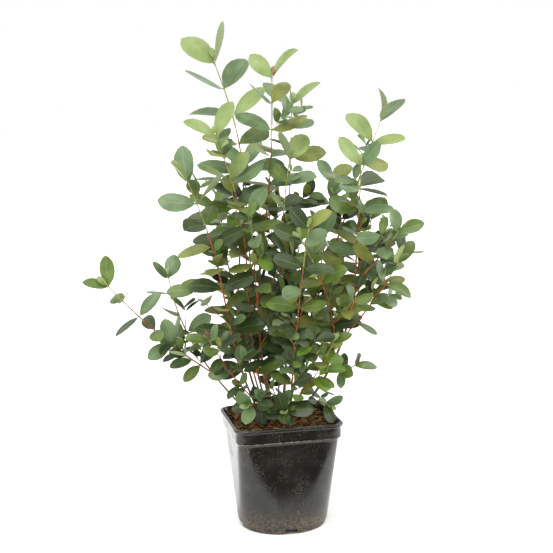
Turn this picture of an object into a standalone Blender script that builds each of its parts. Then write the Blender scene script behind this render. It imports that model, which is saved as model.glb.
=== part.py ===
"""Potted feijoa: a many-stemmed young shrub in a square-to-round nursery pot.

Metres, +Z up. The origin is the centre of the pot's underside and the pot's flat
sides face along X and Y. Every shoot is a named row in SHOOTS: its bare lower
stretch is a stem solid, and its leafy upper stretch is a foliage solid.
"""
import math
import random
from collections import namedtuple

import bmesh
import bpy
import numpy as np
from mathutils.bvhtree import BVHTree

GAP = 0.0003                # clearance between two pieces that touch

# Pot: a thin moulded shell, square at the rim and round at the foot
RIM_HALF = 0.095            # half the width over the rolled lip
RIM_CORNER = 0.0245         # corner radius of the lip
POT_HEIGHT = 0.192
LIP_HEIGHT = 0.006
COLLAR_HALF = 0.0917
COLLAR_CORNER = 0.0225
COLLAR_BOTTOM = 0.166
BODY_TOP_HALF = 0.0885
BODY_TOP_CORNER = 0.024
BODY_BOTTOM_HALF = 0.0785
FOOT_HALF = 0.0752          # the foot ring, round and set in from the body
FOOT_HEIGHT = 0.009
ROUNDNESS = 0.975           # corner radius over half width, where the pot is round
WALL = 0.0017
FLOOR = 0.0022
CORNER_STEPS = 6            # points along each rounded corner
BODY_RINGS = 4
CHANNELS = 4                # drain channels under the floor, one to each side
CHANNEL_WIDTH = 0.018
CHANNEL_HEIGHT = 0.0078
CHANNEL_START = 0.030       # the standing disc inside the channels has this radius
DRAIN_HOLE = 0.005          # radius of the hole in each channel's roof
DRAIN_HOLE_AT = 0.056

# Soil: bark compost, flat round the stems and banked against one corner
SOIL_TOP = 0.180
SOIL_FLAT = 0.052           # radius of the flat middle
SOIL_BANK = 0.005           # how far the edge rises or falls
SOIL_BANK_TOWARDS = math.radians(150)

# Stems and twigs
STEM_SIDES = 6
TWIG_SIDES = 4              # a flat side towards each leaf, for pairs set crosswise
STEM_STEP = 0.042           # length of one straight stretch of a bare stem
AXIS_STEP = 0.080           # length of one straight stretch inside the foliage
FOOT_FLARE = 0.35           # how much wider a stem is at the soil
FLARE_LENGTH = 0.012
TIP_RADIUS = 0.0008
TWIG_RADIUS = 0.0009
TWIG_SEGMENTS = 2

# Leaves: a thin cupped blade, in shares of its own length or width
LEAF_WIDTH = 0.52           # widest width over length
LEAF_LOW = (0.34, 0.43, 0.006)      # lower side point: along, sideways over width, up
LEAF_HIGH = (0.73, 0.46, 0.009)     # upper side point, below the ridge from middle to tip
LEAF_MIDDLE = (0.50, 0.037)         # middle point of the upper face: along, up
ROOT_SINK = 0.0006          # the root lies this far behind the twig's centre
GUARD_START = 0.16          # the space a leaf must find free starts this far out
GUARD_SPARE = 0.0009

Shoot = namedtuple("Shoot", "name foot tip bow sway lift radius bare leaf spacing turn fan twigs seed",
                   defaults=(0, 0, 0, 0.0018, 0.30, 0.055, 0.040, 30, 0.3, 2, 1))

# foot: (x, y) on the soil, or (shoot, share) on a stem; tip: (x, y, z).
# bow and sway bend the shoot sideways once and twice, lift bends it upwards.
# radius: at the foot; bare: share of its length with no leaves; leaf: leaf length;
# spacing: between leaf pairs; turn: direction of the first pair in degrees;
# fan: how far the pairs are combed into one plane; twigs: side twigs; seed: of its draws;
SHOOTS = [
    Shoot("tall_left", (-0.022, 0.012), (-0.091, 0.039, 0.807), sway=-0.023, radius=0.0022,
          bare=0.12, leaf=0.080, spacing=0.045, turn=-35, fan=0.6, twigs=4, seed=10),
    Shoot("centre", (-0.004, 0.010), (-0.001, -0.010, 0.780), bow=-0.022, sway=-0.012,
          radius=0.0022, bare=0.26, leaf=0.070, spacing=0.043, turn=-35, twigs=3, seed=19),
    Shoot("right", (0.016, 0.016), (0.198, 0.021, 0.702), bow=-0.013, sway=-0.002,
          radius=0.0022, bare=0.18, leaf=0.072, spacing=0.042, turn=45, twigs=3, seed=25),
    Shoot("left", (-0.030, 0.000), (-0.156, -0.060, 0.611), bow=-0.002, sway=-0.008,
          radius=0.0020, bare=0.16, leaf=0.070, spacing=0.040, turn=65, twigs=2, seed=38),
    Shoot("second_left", (-0.016, -0.004), (-0.106, -0.040, 0.687), bow=0.006, sway=-0.012,
          radius=0.0020, bare=0.12, leaf=0.070, spacing=0.043, turn=-15, twigs=3, seed=50),
    Shoot("centre_back", (0.008, 0.026), (0.048, 0.062, 0.734), bow=0.004, sway=0.002,
          radius=0.0019, bare=0.20, leaf=0.072, spacing=0.044, turn=-35, twigs=2, seed=59),
    Shoot("centre_front", (0.004, -0.002), (0.021, -0.035, 0.643), bow=-0.004, sway=0.006,
          radius=0.0018, bare=0.13, leaf=0.062, spacing=0.042, turn=45, twigs=2, seed=70),
    Shoot("right_thick", (0.026, 0.000), (0.138, -0.058, 0.631), bow=0.047, sway=0.010,
          radius=0.0027, bare=0.58, leaf=0.064, spacing=0.040, turn=-35, twigs=2, seed=72),
    Shoot("left_back", (-0.018, 0.028), (-0.075, 0.127, 0.564), bow=-0.011, sway=0.001,
          radius=0.0018, bare=0.22, leaf=0.068, spacing=0.042, turn=45, twigs=1, seed=91),
    Shoot("front", (0.014, -0.014), (0.030, -0.128, 0.535), bow=-0.004,
          radius=0.0018, bare=0.13, leaf=0.054, spacing=0.038, turn=-35, twigs=2, seed=94),
    Shoot("spray_left", (-0.036, -0.008), (-0.182, 0.047, 0.442), bow=-0.030,
          radius=0.0019, bare=0.42, leaf=0.056, spacing=0.038, turn=65, twigs=1, seed=106),
    Shoot("back_left", (-0.008, 0.040), (-0.020, 0.165, 0.625), bow=-0.010,
          radius=0.0019, bare=0.20, leaf=0.062, spacing=0.043, turn=-15, twigs=2, seed=121),
    Shoot("back_right", (0.018, 0.036), (0.135, 0.125, 0.590), bow=0.010,
          radius=0.0019, bare=0.20, leaf=0.062, spacing=0.043, turn=25, twigs=1, seed=127),
    Shoot("back", (0.004, 0.052), (0.057, 0.195, 0.480), bow=0.004,
          radius=0.0018, bare=0.22, leaf=0.056, spacing=0.042, turn=65, twigs=1, seed=137),
    Shoot("centre_side", ("centre", 0.22), (-0.057, -0.080, 0.559), lift=-0.006,
          radius=0.0012, bare=0, leaf=0.052, spacing=0.042, turn=5, twigs=1, seed=151),
    Shoot("left_low_side", ("left", 0.12), (-0.130, -0.060, 0.345), lift=-0.006,
          radius=0.0012, bare=0, leaf=0.044, spacing=0.036, turn=-35, twigs=0, seed=157),
    Shoot("right_inner", ("right_thick", 0.24), (0.022, -0.096, 0.514), bow=0.020, lift=-0.006,
          radius=0.0014, bare=0, leaf=0.052, spacing=0.042, turn=-35, twigs=1, seed=161),
    Shoot("right_behind", ("right_thick", 0.30), (0.113, 0.038, 0.474), lift=-0.006,
          radius=0.0013, bare=0, leaf=0.050, spacing=0.038, turn=65, twigs=1, seed=178),
    Shoot("right_outer", ("right_thick", 0.54), (0.191, -0.100, 0.518), lift=-0.004,
          radius=0.0012, bare=0, leaf=0.052, spacing=0.036, turn=-15, twigs=0, seed=188),
    Shoot("right_upper", ("right_thick", 0.41), (0.165, -0.023, 0.534), lift=-0.008,
          radius=0.0013, bare=0, leaf=0.058, spacing=0.040, turn=65, twigs=1, seed=192),
    Shoot("right_spray", ("right_thick", 0.34), (0.199, -0.071, 0.462), lift=-0.008,
          radius=0.0013, bare=0, leaf=0.054, spacing=0.037, turn=65, twigs=1, seed=204),
    Shoot("right_far", ("right_thick", 0.48), (0.232, 0.010, 0.468), lift=-0.010,
          radius=0.0012, bare=0, leaf=0.052, spacing=0.038, turn=5, twigs=0, seed=212),
    Shoot("right_low", ("right_thick", 0.20), (0.126, -0.048, 0.283), lift=-0.006,
          radius=0.0011, bare=0, leaf=0.046, spacing=0.032, turn=45, twigs=0, seed=222),
    Shoot("fresh_front", ("front", 0.10), (0.081, -0.078, 0.333), lift=-0.010,
          radius=0.0010, bare=0, leaf=0.042, spacing=0.034, turn=-15, twigs=0, seed=237),
    Shoot("spray_far_left", ("spray_left", 0.36), (-0.292, -0.012, 0.440), lift=-0.010,
          radius=0.0014, bare=0, leaf=0.054, spacing=0.036, turn=5, twigs=0, seed=251),
    Shoot("low_front", ("front", 0.05), (-0.004, -0.066, 0.214), lift=0.002,
          radius=0.0011, bare=0, leaf=0.046, spacing=0.020, turn=5, twigs=0, seed=260),
    Shoot("low_left", ("second_left", 0.07), (-0.062, -0.050, 0.226), lift=0.002,
          radius=0.0011, bare=0, leaf=0.046, spacing=0.020, turn=5, twigs=0, seed=263),
    Shoot("low_right", ("right_thick", 0.08), (0.078, -0.030, 0.212), lift=0.002,
          radius=0.0011, bare=0, leaf=0.042, spacing=0.024, turn=-15, twigs=0, seed=282),
    Shoot("low_back", ("back", 0.08), (0.000, 0.100, 0.235), lift=0.002,
          radius=0.0011, bare=0, leaf=0.042, spacing=0.026, turn=5, twigs=0, seed=288),
]
ROWS = {shoot.name: shoot for shoot in SHOOTS}
taken = []                          # (owner, lowest corner, highest corner, tree) of each piece


def unit(vector):
    """The vector at length 1."""
    return vector / np.linalg.norm(vector)


# ---------------------------------------------------------------- meshes and space

def make_mesh(name, points, faces):
    """A mesh from points and faces; the faces already point out."""
    mesh = bpy.data.meshes.new(name)
    mesh.from_pydata([tuple(map(float, point)) for point in points], [], faces)
    return mesh


def add_object(name, mesh, material=None, collection=None):
    """An object with the mesh, linked to the scene or to a collection."""
    piece = bpy.data.objects.new(name, mesh)
    (collection or bpy.context.scene.collection).objects.link(piece)
    if material:
        mesh.materials.clear()
        mesh.materials.append(material)
    return piece


def apply_boolean(piece, operation, cutter=None, collection=None):
    """Cut or join, apply it, and remove what was cut or joined with."""
    boolean = piece.modifiers.new("boolean", "BOOLEAN")
    boolean.operation = operation
    boolean.solver = "EXACT" if cutter else "MANIFOLD"
    if cutter:
        boolean.object = cutter
        spent = [cutter]
    else:
        boolean.operand_type = "COLLECTION"
        boolean.collection = collection
        spent = list(collection.objects)
    bpy.context.view_layer.update()
    evaluated = piece.evaluated_get(bpy.context.evaluated_depsgraph_get())
    result = bpy.data.meshes.new_from_object(evaluated)
    piece.modifiers.clear()
    piece.data = result
    for used in spent:
        bpy.data.objects.remove(used)


def keep_largest(mesh):
    """Drop loose scraps and sealed hollows: only the body with most faces stays."""
    work = bmesh.new()
    work.from_mesh(mesh)
    left = set(work.faces)
    bodies = []
    while left:
        edge_of_growth = [left.pop()]
        body = list(edge_of_growth)
        while edge_of_growth:
            face = edge_of_growth.pop()
            for edge in face.edges:
                for other in edge.link_faces:
                    if other in left:
                        left.remove(other)
                        edge_of_growth.append(other)
                        body.append(other)
        bodies.append(body)
    bodies.sort(key=len)
    for body in bodies[:-1]:
        bmesh.ops.delete(work, geom=body, context="FACES")
    work.to_mesh(mesh)
    work.free()


def space_of(points, faces):
    """What a shape fills: its box and a tree of its faces."""
    return points.min(axis=0), points.max(axis=0), BVHTree.FromPolygons(points.tolist(), faces)


def is_free(space, owner=None):
    """Whether nothing placed so far crosses this space, apart from the owner's own pieces."""
    low, high, tree = space
    for other, other_low, other_high, other_tree in taken:
        if other != owner and (low < other_high).all() and (high > other_low).all():
            if tree.overlap(other_tree):
                return False
    return True


def take_object(piece):
    """Mark the space of a finished object as taken."""
    points = np.array([vertex.co for vertex in piece.data.vertices])
    faces = [tuple(face.vertices) for face in piece.data.polygons]
    taken.append((piece.name, *space_of(points, faces)))


# ---------------------------------------------------------------- pot and soil

def square_ring(half, corner, height):
    """A square with round corners; with the corner near the half width it is a circle."""
    points = []
    for quarter in range(4):
        start = quarter * math.pi / 2
        centre_x = math.copysign(half - corner, math.cos(start + math.pi / 4))
        centre_y = math.copysign(half - corner, math.sin(start + math.pi / 4))
        for step in range(CORNER_STEPS):
            angle = start + step / (CORNER_STEPS - 1) * math.pi / 2
            points.append((centre_x + corner * math.cos(angle),
                           centre_y + corner * math.sin(angle), height))
    return np.array(points)


def loft(rings):
    """Points and faces of a closed body through rings of equal length, bottom to top."""
    count = len(rings[0])
    faces = [tuple(range(count))[::-1]]
    for level in range(len(rings) - 1):
        for index in range(count):
            following = (index + 1) % count
            faces.append((level * count + index, level * count + following,
                          (level + 1) * count + following, (level + 1) * count + index))
    faces.append(tuple(range((len(rings) - 1) * count, len(rings) * count)))
    return np.concatenate(rings), faces


def body_rings(inset, start, end):
    """The pot's body between two heights, set in by a wall or a gap."""
    rings = []
    for step in range(BODY_RINGS):
        height = start + (end - start) * step / (BODY_RINGS - 1)
        share = (height - FOOT_HEIGHT) / (COLLAR_BOTTOM - FOOT_HEIGHT)
        half = BODY_BOTTOM_HALF + (BODY_TOP_HALF - BODY_BOTTOM_HALF) * share
        corner = ROUNDNESS * BODY_BOTTOM_HALF * (1 - share) + BODY_TOP_CORNER * share
        rings.append(square_ring(half - inset, corner - inset, height))
    return rings


def inside_rings(inset, top):
    """The inside of the pot from the floor to a height in the collar."""
    foot = FOOT_HALF - WALL - inset
    collar = COLLAR_HALF - WALL - inset
    corner = COLLAR_CORNER - WALL - inset
    return [square_ring(foot, ROUNDNESS * foot, FLOOR + inset),
            square_ring(foot, ROUNDNESS * foot, FOOT_HEIGHT + inset),
            *body_rings(WALL + inset, FOOT_HEIGHT + 2 * WALL, COLLAR_BOTTOM + inset),
            square_ring(collar, corner, COLLAR_BOTTOM + WALL + inset),
            square_ring(collar, corner, top)]


def cut_channels(piece, growth, height):
    """Cut the drain channels, grown by a thickness, out of a piece."""
    start = CHANNEL_START - growth
    for index in range(CHANNELS):
        angle = index * 2 * math.pi / CHANNELS
        box = bmesh.new()
        bmesh.ops.create_cube(box, size=1)
        size = (FOOT_HALF + 0.02 - start, CHANNEL_WIDTH + 2 * growth, 2 * height)
        bmesh.ops.scale(box, verts=box.verts, vec=size)
        bmesh.ops.translate(box, verts=box.verts, vec=(start + size[0] / 2, 0, 0))
        mesh = bpy.data.meshes.new("channel")
        box.to_mesh(mesh)
        box.free()
        cutter = add_object("channel", mesh)
        cutter.rotation_euler.z = angle
        apply_boolean(piece, "DIFFERENCE", cutter)


def make_pot(material):
    """The pot: its outer body less its inside, with channels under the floor."""
    shape = [square_ring(FOOT_HALF - 0.001, ROUNDNESS * (FOOT_HALF - 0.001), 0),
             square_ring(FOOT_HALF, ROUNDNESS * FOOT_HALF, 0.001),
             square_ring(FOOT_HALF, ROUNDNESS * FOOT_HALF, FOOT_HEIGHT - 0.001),
             *body_rings(0, FOOT_HEIGHT, COLLAR_BOTTOM),
             square_ring(COLLAR_HALF - 0.0005, COLLAR_CORNER, COLLAR_BOTTOM + 0.001),
             square_ring(COLLAR_HALF, COLLAR_CORNER, POT_HEIGHT - LIP_HEIGHT - 0.0005),
             square_ring(RIM_HALF - 0.0012, RIM_CORNER, POT_HEIGHT - LIP_HEIGHT),
             square_ring(RIM_HALF, RIM_CORNER, POT_HEIGHT - LIP_HEIGHT + 0.0015),
             square_ring(RIM_HALF, RIM_CORNER, POT_HEIGHT - 0.0018),
             square_ring(RIM_HALF - 0.0014, RIM_CORNER, POT_HEIGHT)]
    pot = add_object("pot", make_mesh("pot", *loft(shape)))
    cut_channels(pot, 0, CHANNEL_HEIGHT)
    hollow = add_object("hollow", make_mesh("hollow", *loft(inside_rings(0, POT_HEIGHT + 0.01))))
    cut_channels(hollow, WALL, CHANNEL_HEIGHT + WALL)
    apply_boolean(pot, "DIFFERENCE", hollow)
    for index in range(CHANNELS):
        angle = index * 2 * math.pi / CHANNELS
        hole = bmesh.new()
        bmesh.ops.create_cone(hole, cap_ends=True, segments=10, radius1=DRAIN_HOLE,
                              radius2=DRAIN_HOLE, depth=2 * CHANNEL_HEIGHT)
        bmesh.ops.translate(hole, verts=hole.verts,
                            vec=(DRAIN_HOLE_AT * math.cos(angle), DRAIN_HOLE_AT * math.sin(angle),
                                 CHANNEL_HEIGHT))
        mesh = bpy.data.meshes.new("drain")
        hole.to_mesh(mesh)
        hole.free()
        apply_boolean(pot, "DIFFERENCE", add_object("drain", mesh))
    pot.data.materials.clear()
    pot.data.materials.append(material)
    pot.data.shade_smooth()
    pot.data.set_sharp_from_angle(angle=math.radians(30))
    take_object(pot)


def make_soil(material):
    """Bark compost that fills the pot: flat in the middle, banked round the edge."""
    rings = inside_rings(GAP, SOIL_TOP)
    for point in rings[-1]:
        turn = math.atan2(point[1], point[0]) - SOIL_BANK_TOWARDS
        point[2] += SOIL_BANK * math.cos(turn)
    rings.append(square_ring(SOIL_FLAT, ROUNDNESS * SOIL_FLAT, SOIL_TOP))
    soil = add_object("soil", make_mesh("soil", *loft(rings)))
    cut_channels(soil, WALL + GAP, CHANNEL_HEIGHT + WALL + GAP)
    soil.data.materials.clear()
    soil.data.materials.append(material)
    take_object(soil)


# ---------------------------------------------------------------- shoots

def centre_line(shoot, shares):
    """Points of a shoot: a straight line bent once, twice and upwards."""
    shares = np.asarray(shares, float)
    foot = foot_of(shoot)[0]
    points = foot + np.outer(shares, np.array(shoot.tip) - foot)
    hump = 4 * shares * (1 - shares)
    points[:, 0] += shoot.bow * hump + shoot.sway * np.sin(2 * math.pi * shares)
    points[:, 2] += shoot.lift * hump
    return points


def stem_shares(shoot):
    """Where the rings of a bare stem stand: at the soil, over the flare and evenly on."""
    length = length_of(shoot)
    count = max(3, round(length * shoot.bare / STEM_STEP))
    return [0, FLARE_LENGTH / length, *np.linspace(0, shoot.bare, count + 1)[1:]]


def axis_shares(shoot):
    """Where the rings of the stem inside a foliage mass stand."""
    length = length_of(shoot)
    start = shoot.bare + GAP / length if shoot.bare else 0
    return np.linspace(start, 1, max(2, round(length * (1 - start) / AXIS_STEP)) + 1)


def between(points, shares, share):
    """The point at a share of a line of straight stretches."""
    return np.array([np.interp(share, shares, column) for column in points.T])


def directions(shoot, shares):
    """Unit directions along a shoot at the given shares of it."""
    shares = np.asarray(shares, float)
    step = centre_line(shoot, shares + 0.001) - centre_line(shoot, shares - 0.001)
    return step / np.linalg.norm(step, axis=1)[:, None]


def is_side_shoot(shoot):
    """Whether the shoot grows from another one's stem instead of from the soil."""
    return isinstance(shoot.foot[0], str)


def foot_of(shoot):
    """Where a shoot starts, and the direction that its first cut faces."""
    if not is_side_shoot(shoot):
        return np.array((*shoot.foot, SOIL_TOP + GAP)), np.array((0.0, 0.0, 1.0))
    parent, share = ROWS[shoot.foot[0]], shoot.foot[1]
    shares = stem_shares(parent)
    centre = between(centre_line(parent, shares), shares, share)
    along = directions(parent, [share])[0]
    outward = np.array(shoot.tip) - centre
    outward = unit(outward - outward.dot(along) * along)
    return centre + outward * (radius_at(parent, share) + GAP), outward


def length_of(shoot):
    """The length of a shoot's centre line."""
    points = centre_line(shoot, np.linspace(0, 1, 41))
    return np.linalg.norm(np.diff(points, axis=0), axis=1).sum()


def radius_at(shoot, share):
    """A shoot's radius: an even taper, wider just above the soil."""
    radius = TIP_RADIUS + (shoot.radius - TIP_RADIUS) * (1 - share)
    if not is_side_shoot(shoot):
        height = share * (shoot.tip[2] - SOIL_TOP)
        radius *= 1 + FOOT_FLARE * math.exp(-height / FLARE_LENGTH)
    return radius


def spare_axis(start, end):
    """The axis that the sides of a shoot are measured from: X where it runs along Y, else Y."""
    return (1, 0, 0) if abs(unit(end - start)[1]) > 0.75 else (0, 1, 0)


def outward_of(angle, along, spare, fan=0):
    """The direction square to a stem at an angle round it, with the pairs combed by fan."""
    across = unit(np.cross(spare, along))
    return unit(across * math.cos(angle)
                + np.cross(along, across) * math.sin(angle) * (1 - fan))


def tube(points, facing, radii, sides, turn=0):
    """A tapering tube: each ring of points faces its own direction."""
    spare = spare_axis(points[0], points[-1])
    rings = []
    for point, ahead, radius in zip(points, facing, radii):
        corners = turn + (np.arange(sides) + 0.5) / sides * 2 * math.pi
        rings.append(np.array([point + radius * outward_of(corner, unit(ahead), spare)
                               for corner in corners]))
    return loft(rings)


def stretch(shoot, shares, sides, first_facing=None):
    """The tube of a shoot through the given shares of it."""
    facing = directions(shoot, shares)
    if first_facing is not None:
        facing[0] = first_facing
    radii = [radius_at(shoot, share) for share in shares]
    return tube(centre_line(shoot, shares), facing, radii, sides, math.radians(shoot.turn))


def node_shares(shoot):
    """Where a shoot's leaf pairs stand, as shares of its length; the last is at its tip."""
    length = length_of(shoot)
    leafy = length * (1 - shoot.bare)
    count = max(2, round(leafy / shoot.spacing))
    steps = (np.arange(count) + 0.75) / (count - 0.25)
    return 1 - (1 - shoot.bare) * (1 - steps) - np.where(steps >= 1, 0.004 / length, 0)


def make_stem(shoot, material):
    """The bare lower stretch of a shoot, flat at the soil and cut where its leaves begin."""
    points, faces = stretch(shoot, stem_shares(shoot), STEM_SIDES, foot_of(shoot)[1])
    stem = add_object("stem_" + shoot.name, make_mesh(shoot.name, points, faces), material)
    stem.data.shade_smooth()
    take_object(stem)


def axis_shape(shoot):
    """The stem inside a foliage mass, from the cut that faces its bough to its tip."""
    facing = None if shoot.bare else foot_of(shoot)[1]
    return stretch(shoot, axis_shares(shoot), TWIG_SIDES, facing)


# ---------------------------------------------------------------- twigs and leaves

def twig_points(start, heading, length, shares):
    """A twig: straight along its heading, and rising more and more."""
    shares = np.asarray(shares, float)[:, None]
    return start + heading * length * shares + np.array((0, 0, 0.28 * length)) * shares ** 2


def grow_twigs(shoot, draw):
    """Side twigs by a seeded rule; one that finds no free side is skipped."""
    twigs = []
    rings = axis_shares(shoot)
    line = centre_line(shoot, rings)
    spare = spare_axis(line[0], line[-1])
    for index in range(shoot.twigs):
        share = shoot.bare + (1 - shoot.bare) * (0.06 + 0.5 * (index + draw.random()) / shoot.twigs)
        angle = math.radians(shoot.turn + 90 * index)
        spread = math.radians(draw.uniform(38, 58))
        length = shoot.leaf * draw.uniform(1.0, 1.7) * (1.2 - share)
        along = directions(shoot, [share])[0]
        start = between(line, rings, share)
        for turn in (0, 180, 90, 270):
            outward = outward_of(angle + math.radians(turn), along, spare)
            heading = along * math.cos(spread) + outward * math.sin(spread)
            shares = np.linspace(0, 1, TWIG_SEGMENTS + 1)
            points = twig_points(start, heading, length, shares)
            facing = np.gradient(points, axis=0)
            radii = np.linspace(TWIG_RADIUS, TIP_RADIUS * 0.7, len(points))
            clear = twig_points(start, heading, length, np.linspace(0.15, 1, TWIG_SEGMENTS + 1))
            outer = space_of(*tube(clear, facing, radii + GUARD_SPARE, TWIG_SIDES))
            whole = space_of(*tube(points, facing, radii + GUARD_SPARE, TWIG_SIDES))
            if is_free(outer) and is_free(whole, shoot.name):
                taken.append((shoot.name, *whole))
                twigs.append((points, length, tube(points, facing, radii, TWIG_SIDES)))
                break
    return twigs


def leaf_shape(base, ahead, upper, length, width, spare=0):
    """A blade: a root, four side points and a tip under one raised middle point."""
    side = np.cross(upper, ahead)
    points = [base - ahead * ROOT_SINK, base + ahead * length]
    for (along, across, up), edge in ((LEAF_LOW, -1), (LEAF_HIGH, -1), (LEAF_HIGH, 1), (LEAF_LOW, 1)):
        points.append(base + ahead * along * length + upper * (up * length - spare)
                      + side * edge * across * width)
    along, up = LEAF_MIDDLE
    points.append(base + ahead * along * length + upper * (up * length + spare))
    outline = (0, 2, 3, 1, 4, 5)
    upper_faces = [(6, outline[index], outline[(index + 1) % 6]) for index in range(6)]
    return np.array(points), upper_faces + [(0, 5, 2), (2, 5, 4), (2, 4, 3), (3, 4, 1)]


def place_leaf(owner, base, along, outward, pitch, roll, length):
    """One leaf, if its space is free: else steeper, flatter and smaller, and else none."""
    for steeper, smaller in ((1, 1), (0.7, 0.9), (1.3, 0.9), (0.85, 0.7)):
        ahead = along * math.cos(pitch * steeper) + outward * math.sin(pitch * steeper)
        upper = unit(along - along.dot(ahead) * ahead)
        upper = upper * math.cos(roll) + np.cross(ahead, upper) * math.sin(roll)
        size = length * smaller
        width = size * LEAF_WIDTH
        outer = space_of(*leaf_shape(base + ahead * GUARD_START * size, ahead, upper,
                                     size * (1 - GUARD_START) + GUARD_SPARE,
                                     width + 2 * GUARD_SPARE, GUARD_SPARE))
        whole = space_of(*leaf_shape(base, ahead, upper, size, width, GUARD_SPARE))
        if is_free(outer) and is_free(whole, owner):
            taken.append((owner, *whole))
            return leaf_shape(base, ahead, upper, size, width)
    return None


def grow_pair(owner, base, along, spare, angle, fan, age, leaf, draw):
    """Two opposite leaves; age runs from 0 at the oldest pair to 1 at the tip."""
    leaves = []
    for side in (0, math.pi):
        turn = angle + side + draw.uniform(-0.2, 0.2)
        pitch = math.radians(80 - 38 * age ** 8) + draw.uniform(-0.2, 0.2)
        roll = draw.uniform(-0.5, 0.5)
        length = leaf * (0.78 + 0.5 * age - 0.36 * age ** 2) * draw.uniform(0.88, 1.1)
        outward = outward_of(turn, along, spare, fan)
        leaves.append(place_leaf(owner, base, along, outward, pitch, roll, length))
    return [leaf_parts for leaf_parts in leaves if leaf_parts]


def grow_leaves(shoot, twigs, draw):
    """Leaf pairs along the shoot and its twigs, each pair square to the one before."""
    leaves = []
    rings, shares = axis_shares(shoot), node_shares(shoot)
    line = centre_line(shoot, rings)
    spare = spare_axis(line[0], line[-1])
    for index, share in enumerate(shares):
        base, along = between(line, rings, share), directions(shoot, [share])[0]
        angle = math.radians(shoot.turn + 90 * (len(shares) - 1 - index))
        age = index / (len(shares) - 1)
        leaves += grow_pair(shoot.name, base, along, spare, angle, shoot.fan, age,
                            shoot.leaf, draw)
    for points, length, _ in twigs:
        count = max(1, round(length / (0.7 * shoot.spacing)))
        spare = spare_axis(points[0], points[-1])
        for index in range(count):
            share = 1 - 0.02 - index * 0.7 / count
            base = between(points, np.linspace(0, 1, len(points)), share)
            along = unit(points[-1] - points[-2] * share - points[0] * (1 - share))
            leaves += grow_pair(shoot.name, base, along, spare, math.radians(90 * index), 0,
                                1 - 0.6 * index / count, 0.78 * shoot.leaf, draw)
    return leaves


def fuse_mass(shoot, axis, twigs, leaves, material):
    """One foliage solid: the axis with its twigs and leaves joined in one union."""
    spare = bpy.data.collections.new("joining")
    bpy.context.scene.collection.children.link(spare)
    mass = add_object("foliage_" + shoot.name, make_mesh(shoot.name, *axis))
    for points, faces in [twig[-1] for twig in twigs] + leaves:
        add_object("joined", make_mesh("joined", points, faces), collection=spare)
    apply_boolean(mass, "UNION", collection=spare)
    bpy.data.collections.remove(spare)
    keep_largest(mass.data)
    mass.data.materials.clear()
    mass.data.materials.append(material)


# ---------------------------------------------------------------- materials

def plain_material(name, colour, roughness):
    """A Principled BSDF with a linear colour; nothing on the plant is metal."""
    material = bpy.data.materials.new(name)
    material.use_nodes = True
    shader = material.node_tree.nodes["Principled BSDF"]
    shader.inputs["Base Color"].default_value = (*colour, 1)
    shader.inputs["Roughness"].default_value = roughness
    shader.inputs["Metallic"].default_value = 0
    return material


def main():
    """Empty the scene, then make pot and soil, the stems, and the foliage on them."""
    for old in list(bpy.data.objects):
        bpy.data.objects.remove(old)
    make_pot(plain_material("black_plastic", (0.012, 0.012, 0.013), 0.32))
    make_soil(plain_material("bark_compost", (0.120, 0.060, 0.028), 0.95))
    bark = plain_material("red_brown_bark", (0.150, 0.055, 0.030), 0.65)
    leaf_green = plain_material("leaf_green", (0.070, 0.125, 0.040), 0.45)
    for shoot in SHOOTS:
        if shoot.bare:
            make_stem(shoot, bark)
    axes = [axis_shape(shoot) for shoot in SHOOTS]
    taken.extend((shoot.name, *space_of(*axis)) for shoot, axis in zip(SHOOTS, axes))
    draws = [random.Random(shoot.seed) for shoot in SHOOTS]
    twigs = [grow_twigs(shoot, draw) for shoot, draw in zip(SHOOTS, draws)]
    leaves = [grow_leaves(*parts) for parts in zip(SHOOTS, twigs, draws)]
    for shoot, *parts in zip(SHOOTS, axes, twigs, leaves):
        fuse_mass(shoot, *parts, leaf_green)


main()
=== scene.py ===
import math
import random

import bpy
import numpy as np
from mathutils import Matrix, Vector
from mathutils.bvhtree import BVHTree


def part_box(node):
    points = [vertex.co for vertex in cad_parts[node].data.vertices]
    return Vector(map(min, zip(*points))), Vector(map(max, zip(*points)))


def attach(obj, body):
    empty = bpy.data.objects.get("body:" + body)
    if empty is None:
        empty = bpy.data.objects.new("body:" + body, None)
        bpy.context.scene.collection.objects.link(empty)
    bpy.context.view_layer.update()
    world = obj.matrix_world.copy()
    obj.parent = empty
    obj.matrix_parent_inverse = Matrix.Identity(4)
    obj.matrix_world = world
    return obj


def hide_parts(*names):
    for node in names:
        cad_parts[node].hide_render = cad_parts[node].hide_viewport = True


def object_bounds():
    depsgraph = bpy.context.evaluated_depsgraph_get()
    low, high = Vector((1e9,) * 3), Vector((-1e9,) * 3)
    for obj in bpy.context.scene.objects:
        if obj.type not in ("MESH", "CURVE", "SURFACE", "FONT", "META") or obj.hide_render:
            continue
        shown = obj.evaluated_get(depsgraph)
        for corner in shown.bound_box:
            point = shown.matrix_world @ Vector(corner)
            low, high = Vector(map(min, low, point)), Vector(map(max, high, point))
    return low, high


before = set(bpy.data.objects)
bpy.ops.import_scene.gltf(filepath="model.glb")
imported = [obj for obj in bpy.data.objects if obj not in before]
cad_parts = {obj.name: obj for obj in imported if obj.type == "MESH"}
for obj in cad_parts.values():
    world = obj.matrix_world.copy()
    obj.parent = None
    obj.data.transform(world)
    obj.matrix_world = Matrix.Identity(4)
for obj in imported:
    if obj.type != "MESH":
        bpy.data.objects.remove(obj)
cadBox = [list(corner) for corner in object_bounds()]
print("frame loaded:", len(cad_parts), "nodes")

gap = 0.0003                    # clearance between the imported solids
soilTop = 0.180


# how the shoots run: foot, tip and bends in metres, angles in degrees

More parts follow.
